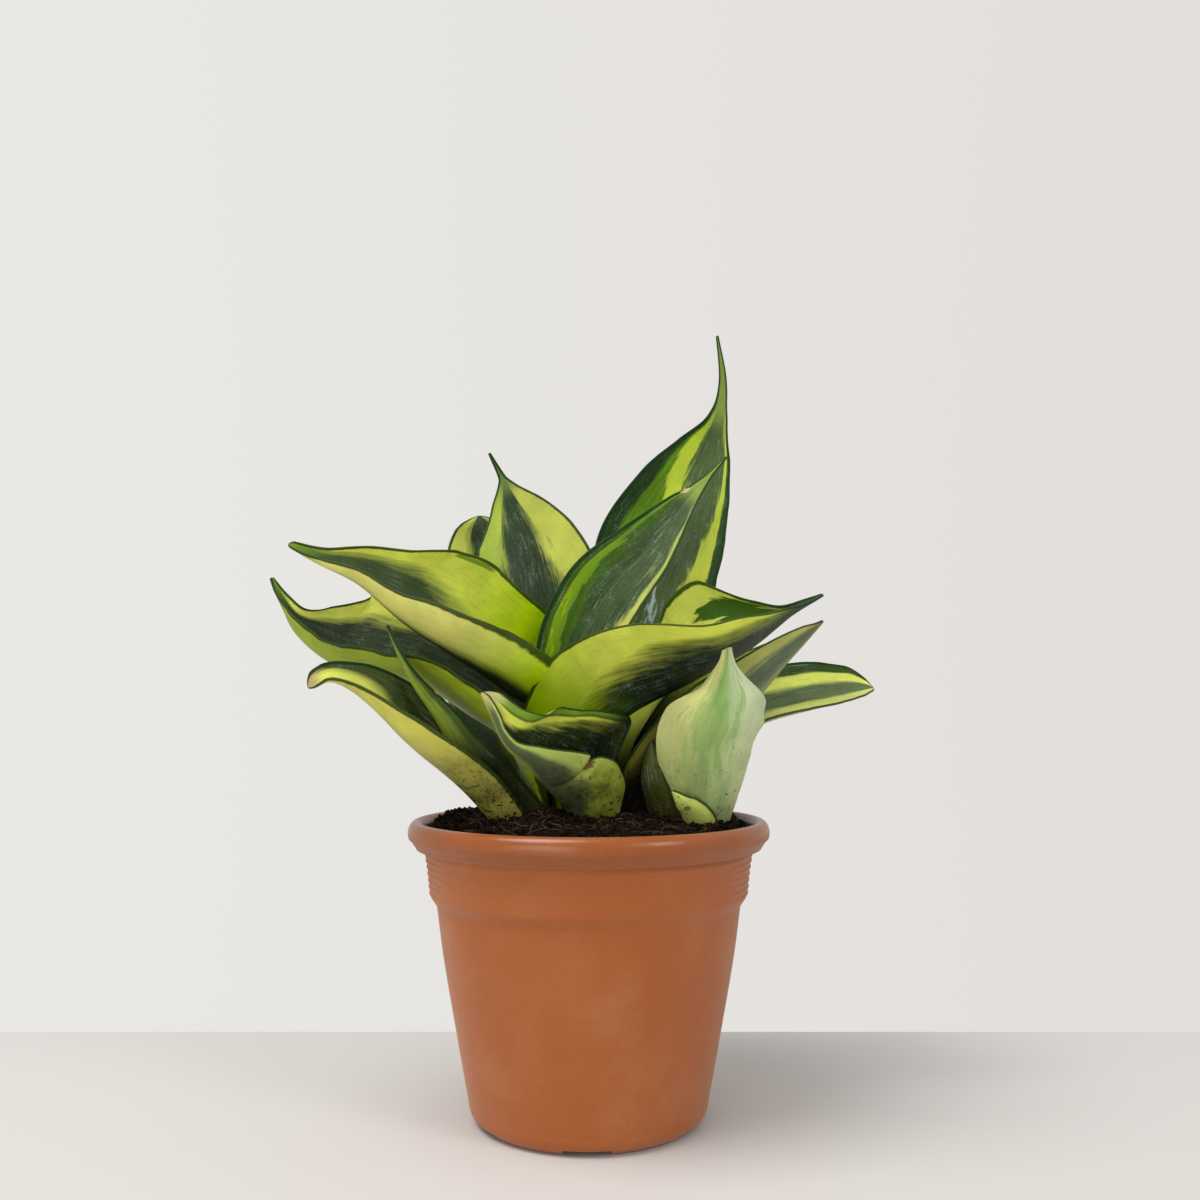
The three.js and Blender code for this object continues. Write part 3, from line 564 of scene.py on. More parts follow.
        marks=[(0.43, -0.9, 1.2, 2.2, 0, "#6b4a2c"), (0.5, -0.6, 7, 0.5, 0, "#c9bd8c")],
        # Its foot turns nearly black low down: soil and painted shade together.
        soil_and_shade=0.95, soil_and_shade_tone="#211c12", specks=0.57, deep=(0.098, 0.122), outer_shade=0.9,
    ),
    "leaf_front_right": dict(
        path=[[-3, -1, 89], [-4, -9, 116], [14, -20, 132], [33, -28.5, 142], [49, -32, 151],
              [64, -32, 162], [74, -31, 168]],
        width=[[0, 24], [0.2, 44], [0.4, 58.5], [0.6, 59], [0.75, 51.5], [0.85, 23], [0.9, 10],
               [0.95, 5], [1, 1]],
        face=[[-0.6, 0.6, 0.3], [-0.5, 0.5, 0.75], [-0.45, 0.12, 0.85], [-0.4, -0.5, 0.7],
              [-0.4, -0.5, 0.7]],
        fold=[50, 50, 50, 57, 50],
        lean=[[0, 0], [0.25, 0.03], [0.4, -0.06], [0.6, -0.07], [0.75, 0.03], [0.85, -0.05],
              [0.92, -0.3], [1, -0.1]],
        wave=0.8, waves=5,
        inner=([LIME, DARK, LIME], ["#c3cb62", FERN, YELLOW], [(-0.1, -0.1), (0.3, 0.5)]),
        outer=(["#84a40c", "#7fa30c", "#83a30e"], ["#24361a", "#20301a", "#bcc553"],
               [(-0.4, -0.5),
                [[0, 0], [0.3, 0.25], [0.45, 0.5], [0.6, 0.76], [0.75, 0.86], [0.88, 0.96],
                 [0.93, 1], [1, 1]]]),
        ageing=(0.22, 0.5), soft=0.19, jag=0.4, silver=1.2,
        line=([[0, 1], [0.5, 1.2], [0.8, 1.2], [1, 0.8]],
              [[0, 1.1], [0.35, 1], [0.55, 0.2], [1, 0.1]]),
        spine=[0.82, 0.93], spine_tone="#33462a",
        marks=[(0.79, -0.6, 13, 5, 1, "#27500a")],
        mottle=2.5, mark_share=0.97, outer_shade=1.0,
    ),
    "leaf_right_low": dict(
        path=[[15, -4, 87], [24, -7, 105], [38, -10, 122], [55, -13, 137], [66, -15, 149],
              [77, -15, 161]],
        width=[[0, 24], [0.3, 44], [0.5, 48], [0.7, 38], [0.85, 22], [1, 1.5]],
        face=[[-0.6, 0.1, 0.6], [-0.45, -0.1, 0.8], [-0.4, 0.1, 0.8]],
        fold=[50, 48, 40],
        inner=(["#424d1f", "#3a451d", "#424d1f"], ["#8c9c3a", "#4d5a28", "#424d1f"],
               [(-0.5, -0.2), (0.5, 0.5)]),
        # The outer side's near-black base tones, like SHADE, are painted shade, and its dark foot
        # is soil and painted shade.
        outer=([SHADE, "#14140c", "#15150d", "#80802e"], [DARK, "#8d9466", "#66735a", "#a9ac60"],
               [(-0.5, -0.5), [[0, 0.1], [0.5, 0.15], [1, 0.2]],
                [[0, 0.9], [0.4, 0.86], [0.7, 0.72], [1, 0.7]]]),
        ageing=(0.34, 0.62), soft=0.2, jag=0.5, line=((0.6, 0.4), (0.6, 0.2)), dry=[0.93, 1.0],
        dry_tone="#8a6f50", soil_and_shade=0.9, soil_and_shade_tone="#191209", specks=0.54, deep=(0.112, 0.138),
        outer_shade=0.5,
    ),
    "leaf_right_back": dict(
        path=[[8, 8, 89], [28, 18, 110], [53, 28, 127], [74, 35, 134], [93, 38, 138],
              [106, 39, 140]],
        width=[[0, 20], [0.3, 34], [0.6, 39], [0.8, 34.5], [0.93, 23.5], [1, 4]],
        face=[[-0.6, -0.5, 0.8], [-0.2, -0.55, 0.8], [-0.1, -0.6, 0.8]],
        fold=[45, 30, 25],
        lean=[[0, 0], [0.4, -0.08], [0.9, -0.08], [1, 0]],
        inner=(["#36531a", "#cdd66e", GREY, "#bfc471"],
               ["#36531a", "#c8d06a", "#5f6f4b", "#bfc471"],
               [(-0.7, -0.72), (-0.42, -0.38), [[0, 0.1], [0.6, 0.18], [0.8, 0.3], [1, 0.38]]]),
        outer=PLAIN_BACK, soft=0.14, jag=0.5, line=((0.8, 0.7), (0.9, 0.8)),
    ),
    "leaf_behind_right": dict(LOW_LEAF,
        path=[[4, 20, 88], [9, 34, 106], [16, 46, 124], [24, 55, 136], [31, 60, 140]],
        width=[[0, 20], [0.3, 34], [0.55, 40], [0.8, 26], [0.92, 10], [1, 2]],
        face=[[-0.1, -0.6, 0.6], [-0.2, -0.6, 0.8], [-0.2, -0.5, 0.8]],
    ),
    "leaf_behind_centre": dict(LOW_LEAF,
        path=[[-8, 26, 88], [-13, 40, 104], [-20, 51, 118], [-28, 58, 130], [-35, 60, 141]],
        width=[[0, 20], [0.3, 32], [0.55, 38], [0.8, 26], [0.92, 10], [1, 2]],
        face=[[0.2, -0.6, 0.6], [0.3, -0.6, 0.8], [0.3, -0.5, 0.8]],
        inner=([LIME, DARK, LIME], [YELLOW, GREY, YELLOW], [(-0.4, -0.45), (0.45, 0.5)]),
    ),
    "leaf_behind_left": dict(LOW_LEAF,
        path=[[-16, 14, 88], [-31, 25, 106], [-44, 33, 124], [-55, 39, 142]],
        width=[[0, 20], [0.3, 32], [0.55, 36], [0.8, 24], [0.92, 10], [1, 2]],
        face=[[0.6, -0.5, 0.5], [0.6, -0.5, 0.6], [0.6, -0.5, 0.6]],
        deep=(0.11, 0.17), outer_shade=0.35,
    ),
}
SIDE_SHOOT = {
    "pup_leaf": dict(
        path=[[38, -14, 87], [37, -27, 105], [37, -37, 120], [39, -43, 132], [41.5, -46, 146],
              [42.5, -45, 157]],
        width=[[0, 16], [0.2, 28], [0.45, 35], [0.6, 34], [0.68, 29], [0.76, 20.5], [0.82, 11],
               [0.87, 4.6], [0.92, 2.6], [1, 0.6]],
        face=[[0, 1, 0.1], [0, 1, 0.1], [0, 0.8, -0.3]],
        fold=[40, 30, 25],
        lean=[[0, 0], [0.5, -0.03], [0.66, 0.12], [0.76, 0.42], [0.83, 0.3], [0.92, 0], [1, 0]],
        inner=([PALE_GREEN, SHOOT_GREEN, PALE_GREEN], [PALE_YELLOW, SHOOT_GREEN, PALE_YELLOW],
               [(-0.4, -0.3), (0.3, 0.2)]),
        outer=(["#b3c08c", "#a0b674", "#bec886"], ["#bcc8a2", "#7f9f5a", "#ccce88"],
               [[[0, -0.5], [0.5, -0.4], [0.8, -0.25], [1, -0.1]],
                [[0, 0.5], [0.5, 0.35], [1, 0.15]]]),
        soft=0.42, jag=1.0, silver=0.6, line=(NO_LINE, NO_LINE),
        marks=[(0.62, 0.0, 15, 5.5, 0, "#7da05a"), (0.3, -0.05, 14, 6, 0, "#8fa870")],
        mottle=8.0, mark_share=0.38, soil_and_shade=0.2, specks=0.6, deep_shade=1.0, outer_shade=1.0,
    ),
    "pup_side_leaf": dict(
        path=[[29, -14, 88], [24, -20, 103], [20.5, -23, 113], [20, -23, 122]],
        width=[[0, 12], [0.3, 15], [0.6, 13], [0.85, 6], [1, 1]],
        face=[[0.2, 1, 0], [0.2, 1, 0], [0.3, 1, 0]],
        fold=[35, 30, 25],
        inner=(["#5b6122"], ["#66702a"], []),
        outer=([DARK, "#42471a", "#3c4018"], [DARK, "#4c5520", "#40461c"],
               [(-0.8, -0.7), (0.3, 0.4)]),
        soft=0.3, line=(THIN_LINE, THIN_LINE), soil_and_shade=0.5, specks=0.57, deep_shade=1.0,
        outer_shade=1.0,
    ),
    "pup_sheath": dict(
        path=[[38, -19, 88], [33, -27, 99], [29.5, -30, 103], [26, -31, 107]],
        width=[[0, 9], [0.4, 12], [0.7, 8], [1, 1]],
        face=[[0.3, 0.9, 0.3], [0.3, 0.9, 0.3], [0.3, 0.9, 0.3]],
        fold=[35, 30, 25],
        inner=(["#8b9a4a"], ["#9aad55"], []),
        outer=(["#b0ba62"], ["#b8c86c"], []),
        line=(THIN_LINE, THIN_LINE),
        marks=[(0.72, 0, 1.3, 1.1, 0, "#8a5a26")],
        soil_and_shade=0.15, specks=0.62, deep_shade=1.0, outer_shade=1.0,
    ),
}


THINNEST = 0.6                  # mm
MARGIN_THINNING = 0.7           # how much less thick than the midrib a margin is, as a share
NARROW_THICKNESS = 0.35         # share of the thickness left where the blade is narrowest
FLATTER_BELOW = 5               # mm: a half blade narrower than this is folded less
TIP_RINGS, TIP_TURN = 9, 1.45   # rings round the tip, and the last one's angle in radians
MARGIN_POINTS = 4               # points round each margin, between the two faces
CRIMP_PITCH, UNEVEN_PITCH, UNEVEN = 3.1, 16, 0.35     # mm


def leaf_rings(leaf, count):
    """The shares of the length that a leaf's rings stand at, crowded round the tip, and each ring's
    size: 1 along the blade, then falling as a quarter circle does."""
    body = np.linspace(0, 1, count)
    tip = max(leaf["width"][-1][1] / 2, 0.5) / along_path(leaf["path"], body)[2]
    turn = np.linspace(0, TIP_TURN, TIP_RINGS)
    shares = np.concatenate([body[body < 1 - 1.5 * tip], 1 - tip * (1 - np.sin(turn))])
    return shares, np.sqrt(1 - np.clip((shares - 1 + tip) / tip, 0, 1) ** 2)


def leaf_skin(leaf, sizes, seed):
    """One leaf as a closed tube swept along its midrib, with v the share of its length and u from
    -1 to 1 across. Each half blade is an arc of a circle: it rises from the midrib at (1 - curl) of
    the fold and ends at (1 + curl) of it. The blade thins from the midrib to the margins as
    1 - 0.7 u^2, and its margins are round. Ruffles lift it by u^3, crimps by u^6, and slow lumps
    all over."""
    shares, closing = leaf_rings(leaf, sizes.leaf_rings)
    place, along, length = along_path(leaf["path"], shares)
    look = even_curve(leaf["face"], shares)
    normal = unit(look - np.sum(look * along, axis=1, keepdims=True) * along)
    across = np.cross(along, normal)
    half = np.maximum(pair_curve(leaf["width"], shares), 0.5) / 2
    widest = half.max()
    flatter = np.minimum(half / FLATTER_BELOW, 1) ** 0.7
    angle = np.radians(even_curve(leaf["fold"], shares)) * flatter
    half = half * closing
    lean = pair_curve(leaf["lean"], shares)[:, None]

    u = np.sin(np.linspace(-1, 1, sizes.leaf_columns) * math.pi / 2)
    U, V = np.meshgrid(u, shares)
    h = half[:, None] * (1 - lean * np.sign(U))
    for share, side, depth, reach in leaf["notches"]:
        h = h * (1 - depth * np.exp(-((V - share) / reach) ** 2) * (U * side > 0))
    curl = np.where(U < 0, *leaf["curl"])
    start, bend = (1 - curl) * angle[:, None], 2 * curl * angle[:, None] + 1e-6
    tilt = start + bend * np.abs(U)
    out = (np.sin(tilt) - np.sin(start)) / bend * np.sign(U)
    up = (np.cos(start) - np.cos(tilt)) / bend
    axis_s, axis_n = across[:, None, :], normal[:, None, :]
    skin = -(np.sin(tilt) * np.sign(U))[..., None] * axis_s + np.cos(tilt)[..., None] * axis_n
    edge = (np.cos(tilt) * np.sign(U))[..., None] * axis_s + np.sin(tilt)[..., None] * axis_n

    wide = np.minimum(half[:, None] / widest, 1)
    ruffle = np.sin(TURN * leaf["waves"] * V + 1.3 * (U > 0))
    travel = np.stack([V * length, U * 40], axis=-1)
    lift = leaf["wave"] * np.abs(U) ** 3 * wide * ruffle
    lift = lift + leaf["crimp"] * np.abs(U) ** 6 * wide * lumps(travel, CRIMP_PITCH, seed)
    lift = lift + UNEVEN * wide * lumps(travel, UNEVEN_PITCH, seed + 1)
    arc = out[..., None] * axis_s + up[..., None] * axis_n
    middle = place[:, None, :] + h[..., None] * arc + lift[..., None] * skin
    taper = NARROW_THICKNESS + (1 - NARROW_THICKNESS) * wide
    thick = sizes.leaf_thickness / MM * (1 - MARGIN_THINNING * U**2) * taper
    thick = np.clip(thick, THINNEST, h + THINNEST)
    thick = (thick * np.maximum(closing, 0.25)[:, None] / 2)[..., None]

    def margin_point(column, a):
        away = math.cos(a) * skin[:, column] + math.sin(a) * edge[:, column]
        return middle[:, column] + thick[:, column] * away

    turn = np.linspace(0, math.pi, MARGIN_POINTS + 2)[1:-1]
    right = np.stack([margin_point(-1, a) for a in turn], 1)
    left = np.stack([margin_point(0, a) for a in turn[::-1]], 1)
    front, back = middle + thick * skin, middle - thick * skin
    ring = np.concatenate([front, right, back[:, ::-1], left], axis=1)
    points = np.concatenate([ring.reshape(-1, 3), ring[:1].mean(1), ring[-1:].mean(1)])
    attributes = leaf_attributes(leaf, u, shares, half, lean, length, widest)
    return points * MM, tube_faces(len(shares), ring.shape[1]), attributes


def leaf_attributes(leaf, u, shares, half, lean, length, widest):
    """What the finish reads at each point: its band, its distance across and along in metres, its
    share of the length, its distance from the margin in widths of the dark line, whether it is on
    the inner side, and for each mark 1 at its middle, falling to 0 at its edge."""
    ends, fade, flat = np.ones(MARGIN_POINTS), np.linspace(0, 1, MARGIN_POINTS), np.ones(len(u))
    ring_u = np.concatenate([u, ends, u[::-1], -ends])
    shape = (len(shares), len(ring_u))
    ring_u, v = np.broadcast_to(ring_u, shape), np.broadcast_to(shares[:, None], shape)
    inner = np.broadcast_to(np.concatenate([flat, fade[::-1], 0 * flat, fade]), shape)
    bands = [band_place(leaf[side][2], ring_u, v) for side in ("inner", "outer")]
    sided = half[:, None] * (1 - lean * np.sign(ring_u))
    lines = [pair_curve(line, v) for line in leaf["line"]]
    values = {
        "band": np.where(inner > 0.5, *bands),
        "across": ring_u * widest * MM, "along": v * length * MM, "share": v,
        "margin": (1 - np.abs(ring_u)) * sided / np.where(ring_u < 0, *lines), "inner": inner,
    }
    for k, (share, u_place, reach_v, reach_u, side, _) in enumerate(leaf["marks"]):
        away = np.hypot((v - share) * length / reach_v, (ring_u - u_place) * sided / reach_u)
        values[f"mark_{k}"] = np.where(np.abs(inner - side) < 0.6, 1 - away, -1)
    return {key: np.concatenate([value.ravel(), value[0, :1], value[-1, :1]])
            for key, value in values.items()}


def band_place(borders, u, v):
    """Which band a point of the blade is in: 0 to 1 in the first, 1 to 2 in the next and so on,
    rising evenly from border to border."""
    left, right = np.full(u.shape, -1.0), np.full(u.shape, 1.0)
    knots = [left, *(pair_curve(line, v) for line in borders), right]
    return sum(np.clip((u - low) / np.maximum(high - low, 0.01), 0, 1)
               for low, high in zip(knots, knots[1:]))


def band_ramp(finish, place, tones, soft):
    """The bands' colours, each flat in its middle and blended into the next over soft of a band."""
    count = len(tones)
    if count == 1:
        return tone(tones[0])
    stops = [(0.0, tone(tones[0]))]
    for k in range(1, count):
        stops += [((k - soft) / count, tone(tones[k - 1])), ((k + soft) / count, tone(tones[k]))]
    return finish.ramp(finish.math("DIVIDE", place, float(count)), stops)


# Noise scales on a leaf, in waves to a metre. Streaks, fibres and teeth are drawn out lengthwise.
STREAKS, FIBRES, TEETH, GRAINS, SPECKS = 1100, 1300, 330, 1500, 650
LONG_STRETCH, TOOTH_STRETCH = 0.07, 0.22
FOOT = (0.100, 0.124)           # heights in metres over which soil and painted shade on a leaf's foot fade out
LINE_STRENGTH = 0.92


def leaf_finish(name, leaf):
    """Waxy leaf skin: bands that change from base to tip, with borders drawn out into long teeth,
    silvery grains and streaks over the dark ones, a thin dark margin, brown where the tip has
    dried, the leaf's marks, some of them partly a painted highlight, painted shade low down
    between the leaves, and soil and painted shade on its foot."""
    finish = Finish(name + "_skin", Specular_IOR_Level=0.14)
    add, times, noise, between, mix, shaded = (
        finish.add, finish.times, finish.noise, finish.between, finish.mix, finish.shaded)
    seed = (sum(ord(letter) for letter in name) % 97) / 10
    band, across, along = (finish.attribute(key) for key in ("band", "across", "along"))
    share, margin, inner = (finish.attribute(key) for key in ("share", "margin", "inner"))
    lengthwise = finish.vector(across, times(along, LONG_STRETCH), seed)
    streaks = noise(STREAKS, 4, 0.6, lengthwise)
    teeth = noise(TEETH, 3, 0.6, finish.vector(across, times(along, TOOTH_STRETCH), seed))
    wander = noise(45, 2, 0.5)

    # the bands
    jag, soft = leaf["jag"], leaf["soft"]
    shift = add(finish.around(streaks, 0.5 * jag), finish.around(teeth, 0.9 * jag))
    place = add(band, add(shift, finish.around(wander, 0.3)))
    ageing = between(share, *leaf["ageing"])
    sides = [mix(ageing, *(band_ramp(finish, place, tones, soft) for tones in leaf[side][:2]))
             for side in ("outer", "inner")]
    colour = mix(finish.math("GREATER_THAN", inner, 0.5), *sides)

    # silver over the dark bands, green streaks over the light ones
    light = finish.brightness(colour)
    grains = between(noise(GRAINS, 4, 0.75), 0.5, 0.72)
    fibres = between(noise(FIBRES, 4, 0.7, lengthwise), 0.5, 0.74)
    blotches = between(noise(150, 3, 0.6), 0.4, 0.7)
    darkness = between(light, 0.05, 0.3, 1.0, 0.0)
    flecks = add(times(grains, 0.32), times(fibres, 0.42))
    patchy = times(darkness, between(blotches, 0.0, 1.0, 0.25, 1.0))
    silver = times(flecks, patchy)
    colour = mix(times(silver, leaf["silver"]), colour, tone(SILVER))
    green = times(between(light, 0.2, 0.45), between(streaks, 0.5, 0.75, 0.0, 0.4))
    colour = mix(green, colour, tone(MEADOW))
    colour = shaded(colour, between(noise(60, 3, 0.55), 0.3, 0.72, 0.92, 1.22))
    faint = between(light, 0.05, 0.4, 0.72, 0.93)
    colour = shaded(colour, between(streaks, 0.3, 0.7, faint, 1.12))
    colour = finish.richer(colour, 1.045)
    colour = shaded(colour, between(light, 0.06, 0.3, 0.76, 1.0))

    # the spine, the dry tip, the margin's line and the marks
    if "spine" in leaf:
        colour = mix(between(share, *leaf["spine"]), colour, tone(leaf["spine_tone"]))
    if "dry" in leaf:
        dried = between(add(share, finish.around(teeth, 0.06)), *leaf["dry"])
        colour = mix(dried, colour, tone(leaf["dry_tone"]))
    ragged = finish.around(noise(420, 3, 0.6), 0.9)
    edge = between(add(margin, ragged), 0.7, 1.25, LINE_STRENGTH, 0.0)
    colour = mix(edge, colour, tone(MARGIN))
    for k, mark in enumerate(leaf["marks"]):
        here = add(finish.attribute(f"mark_{k}"), finish.around(teeth, leaf["mottle"]))
        colour = mix(between(here, 0.0, 0.25, 0.0, leaf["mark_share"]), colour, tone(mark[-1]))

    # painted shade between the leaves, and soil and painted shade on the foot
    low = between(finish.height(), *FOOT, 1.0, 0.0)
    deep = between(finish.height(), *leaf["deep"], leaf["deep_shade"], 1.0)
    outside = between(inner, 0.0, 1.0, leaf["outer_shade"], 0.0)
    colour = shaded(colour, finish.math("MAXIMUM", deep, outside))
    # soil and painted shade: a dark tone mixed in towards the bottom of the foot
    soil_and_shade = times(low, between(noise(90, 4, 0.6), 0.4, 0.7, 0.0, leaf["soil_and_shade"]))
    colour = mix(soil_and_shade, colour, tone(leaf["soil_and_shade_tone"]))
    specks = between(noise(SPECKS, 4, 0.7), leaf["specks"], leaf["specks"] + 0.05)
    colour = mix(times(low, specks), colour, tone(PEAT))

    finish.drive("Base Color", colour)
    finish.drive("Roughness", between(fibres, 0.0, 1.0, 0.36, 0.5))
    finish.bump(add(times(streaks, 0.7), times(grains, 0.3)), 0.00022, 0.8)
    return finish.material


# ---- pot ----

RIM_PAINTED_SHADE = (0.084, 0.088)      # heights in metres over which the wall gives way to the rim, darkened as painted shade
RIM_GLOSS = (0.0905, 0.0935)    # and over which matte gives way to satin


def pot_finish(look):
    """Matte moulded plastic: an even terracotta colour with faint lighter bloom and fine speckle, a
    rim darkened by painted shade and satin on its roll, and a soft sheen where it is seen at a
    low angle."""
    finish = Finish("terracotta_plastic", Specular_IOR_Level=0.4, Sheen_Weight=0.22,
                    Sheen_Roughness=0.5, Sheen_Tint=tone("#ffdcc0"))
    bloom = finish.between(finish.noise(34, 5, 0.65), 0.4, 0.75)
    speckle = finish.between(finish.noise(1500, 3, 0.65), 0.4, 0.72)
    colour = finish.mix(finish.times(bloom, 0.2), opaque(look.pot_colour), tone("#c08a60"))
    colour = finish.mix(finish.times(speckle, 0.2), colour, tone("#8a431c"))
    # painted shade: the rim is darkened below the wall's colour
    colour = finish.shaded(colour, finish.between(finish.height(), *RIM_PAINTED_SHADE, 1.0, 0.78))
    finish.drive("Base Color", colour)
    gloss = finish.between(finish.height(), *RIM_GLOSS, 0.5, 0.19)
    finish.drive("Roughness", finish.add(gloss, finish.around(finish.noise(300, 3), 0.12)))
    finish.bump(finish.noise(2200, 3, 0.6), 0.0001, 0.6)
    return finish.material


FOOT_RADIUS, FOOT_WIDTH, FOOT_NOTCHES, NOTCH_HEIGHT = 33.5, 3.0, 6, 1.8
FLOOR_HEIGHT, FLOOR_THICKNESS = 2.4, 2.0
BASE_CORNER = (5.7, 6)          # how far the round corner goes out and up
RIDGE_LOW, RIDGE_HIGH, RIDGES = 71.8, 84.4, 6
LIP_RADIUS, LIP_HEIGHT, LIP_HALF_WIDTH, LIP_HALF_HEIGHT = 57.35, 91.8, 2.65, 3.8
DRAIN_HOLES, DRAIN_RADIUS, DRAIN_CIRCLE = 6, 4, 20
POT_SIDES, DRAIN_SIDES = 360, 24


def pot_outline():
    """The pot's section from the middle of its underside, out and up the wall, over the rim and
    down the inside: a smooth curve through the wall's [radius, height] pairs with a round base
    corner, a soft step at the foot of the band, a crisp corner under the lip, and a half ellipse
    for the roll."""
    foot_inside = FOOT_RADIUS - FOOT_WIDTH
    underside = [[0, FLOOR_HEIGHT], [12, FLOOR_HEIGHT], [foot_inside - 0.6, FLOOR_HEIGHT],
                 [foot_inside, FLOOR_HEIGHT - 0.6], [foot_inside, 0.3], [foot_inside + 0.3, 0]]
    corner = [[FOOT_RADIUS + BASE_CORNER[0] * math.sin(a), BASE_CORNER[1] * (1 - math.cos(a))]
              for a in np.linspace(0, math.pi / 2, 14)]
    side = [[39.2, 6], [40.6, 13], [42.9, 25], [48.2, 53.8], [49.2, 60.7], [50.15, 67.6],
            [50.25, 68.2], [50.5, 68.7], [50.9, 69.3], [52.4, 71.8], [52.9, 76], [53.4, 80.1],
            [54.0, 83.5], [54.3, 84.4]]
    radius, height = np.array(side).T
    levels = np.concatenate([np.linspace(6.3, 66, 44), np.linspace(66.4, RIDGE_HIGH, 110)])
    wall = np.stack([pair_curve(np.stack([height, radius], -1), levels), levels], -1).tolist()
    under_lip = [[54.4, 85.2], [54.45, 85.9], [54.6, 86.2], [56.2, 86.5], [57.0, 86.7],
                 [57.25, 86.8], [57.4, 87.0], [57.6, 87.4], [58.2, 88.3], [58.9, 89.3]]
    roll = [[LIP_RADIUS + LIP_HALF_WIDTH * math.cos(a), LIP_HEIGHT + LIP_HALF_HEIGHT * math.sin(a)]
            for a in np.linspace(-0.5, math.pi, 30)]
    top_of_floor = FLOOR_HEIGHT + FLOOR_THICKNESS
    inside = [[54.6, 90.8], [54.2, 89.5], [53.5, 87.5], [52.0, 82.4], [38.0, 7.0], [36.5, 5.2],
              [FOOT_RADIUS, top_of_floor], [12, top_of_floor], [0, top_of_floor]]
    return underside + corner + wall + under_lip + roll + inside


def pot_details(grid):
    """Six notches under the foot, and in the band under the rim six fine ridges: a sine wave that
    stands out most at the left and right."""
    radius = np.hypot(grid[..., 0], grid[..., 1])
    apart = 360 / FOOT_NOTCHES
    turn = (np.degrees(np.arctan2(grid[..., 1], grid[..., 0])) + 90 + apart / 2) % apart - apart / 2
    under_foot = (grid[..., 2] < NOTCH_HEIGHT) & (radius > 20) & (radius < 42)
    grid[..., 2] = np.where((np.abs(turn) < 11.5) & under_foot, NOTCH_HEIGHT, grid[..., 2])
    ridged = (radius > 51.8) & (grid[..., 2] > RIDGE_LOW) & (grid[..., 2] < RIDGE_HIGH)
    at_sides = smooth_step(np.abs(grid[..., 0]) / np.maximum(radius, 1), 0.8, 0.96)
    depth = 0.012 + 0.238 * at_sides
    place = (grid[..., 2] - RIDGE_LOW) / (RIDGE_HIGH - RIDGE_LOW)
    swell = 1 + ridged * depth * np.sin(place * RIDGES * TURN) / np.maximum(radius, 1)
    grid[..., :2] *= swell[..., None]
    return grid


def make_pot(look):
    """The pot's outline carried round Z, with its details, and drain holes cut by upright rods."""
    points, faces = turned(pot_outline(), POT_SIDES, pot_details)
    pot = new_piece("nursery_pot", points, faces, pot_finish(look))
    angle, (low, high) = np.arange(DRAIN_SIDES) * TURN / DRAIN_SIDES, (0.5, 7.0)
    rods = []
    for k in range(DRAIN_HOLES):
        way = (k + 0.5) * TURN / DRAIN_HOLES
        x, y = DRAIN_CIRCLE * np.array([math.cos(way), math.sin(way)])
        ring = np.stack([x + DRAIN_RADIUS * np.cos(angle), y + DRAIN_RADIUS * np.sin(angle)], -1)
        rods += [np.c_[ring, np.full(DRAIN_SIDES, low)], np.c_[ring, np.full(DRAIN_SIDES, high)],
                 [[x, y, low], [x, y, high]]]
    rod_faces = repeated(tube_faces(2, DRAIN_SIDES), 2 * DRAIN_SIDES + 2, DRAIN_HOLES)
    drills = new_piece("drills", np.concatenate(rods) * MM, rod_faces,
                       pot.data.materials[0])
    cut = pot.modifiers.new("drain_holes", "BOOLEAN")
    cut.operation, cut.solver, cut.object = "DIFFERENCE", "EXACT", drills
    bpy.context.view_layer.update()
    bored = pot.evaluated_get(bpy.context.evaluated_depsgraph_get())
    bored = bpy.data.meshes.new_from_object(bored)
    pot.modifiers.clear()
    pot.data = bored
    bpy.data.objects.remove(drills)
    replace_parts(pot, "pot")


# ---- soil ----

SOIL_MOUND = [[0, 98.4], [15, 98.4], [30, 97.5], [46, 95.8], [51, 94.6], [55, 93.6]]
SOIL_LUMPS = ((1.2, 14), (0.9, 6), (0.6, 2.7), (0.4, 1.3), (0.2, 0.7))      # height and pitch
SOIL_SIDES, SOIL_RINGS, MOUTH = 300, 150, 51.5
CRUMB_SIDES = 6
FIBRE_RINGS, FIBRE_SIDES = 12, 4


def soil_height(x, y):
    """Height of the soil's surface: a low mound from the pot's wall to the middle, roughened by
    lumps of five sizes that fade out at the wall."""
    radius = np.hypot(x, y)
    spot = np.stack([x, y], -1)
    rough = sum(height * lumps(spot, pitch, 3 + k) for k, (height, pitch) in enumerate(SOIL_LUMPS))
    return pair_curve(SOIL_MOUND, radius) + (1 - smooth_step(radius, 50, 53.5)) * rough


def soil_finish():
    """Moist peat: near-black brown crumbs with lighter brown flecks."""
    finish = Finish("moist_peat", Specular_IOR_Level=0.1)
    clods = finish.noise(260, 5, 0.7)
    flecks = finish.between(finish.noise(900, 4, 0.75), 0.6, 0.72)
    colour = finish.mix(finish.between(clods, 0.35, 0.72), tone("#0c0704"), tone("#26160c"))
    colour = finish.mix(finish.times(flecks, 0.4), colour, tone("#6b432c"))
    finish.drive("Base Color", colour)
    finish.drive("Roughness", finish.between(clods, 0.3, 0.7, 0.95, 0.7))
    finish.bump(finish.noise(1500, 5, 0.8), 0.0006, 1.0)
    return finish.material


def soil_points(count, rng):
    """Places on the soil, spread evenly over the mouth of the pot."""
    radius = MOUTH * np.sqrt(rng.random(count))
    angle = rng.random(count) * TURN
    x, y = radius * np.cos(angle), radius * np.sin(angle)
    return np.stack([x, y, soil_height(x, y)], -1)


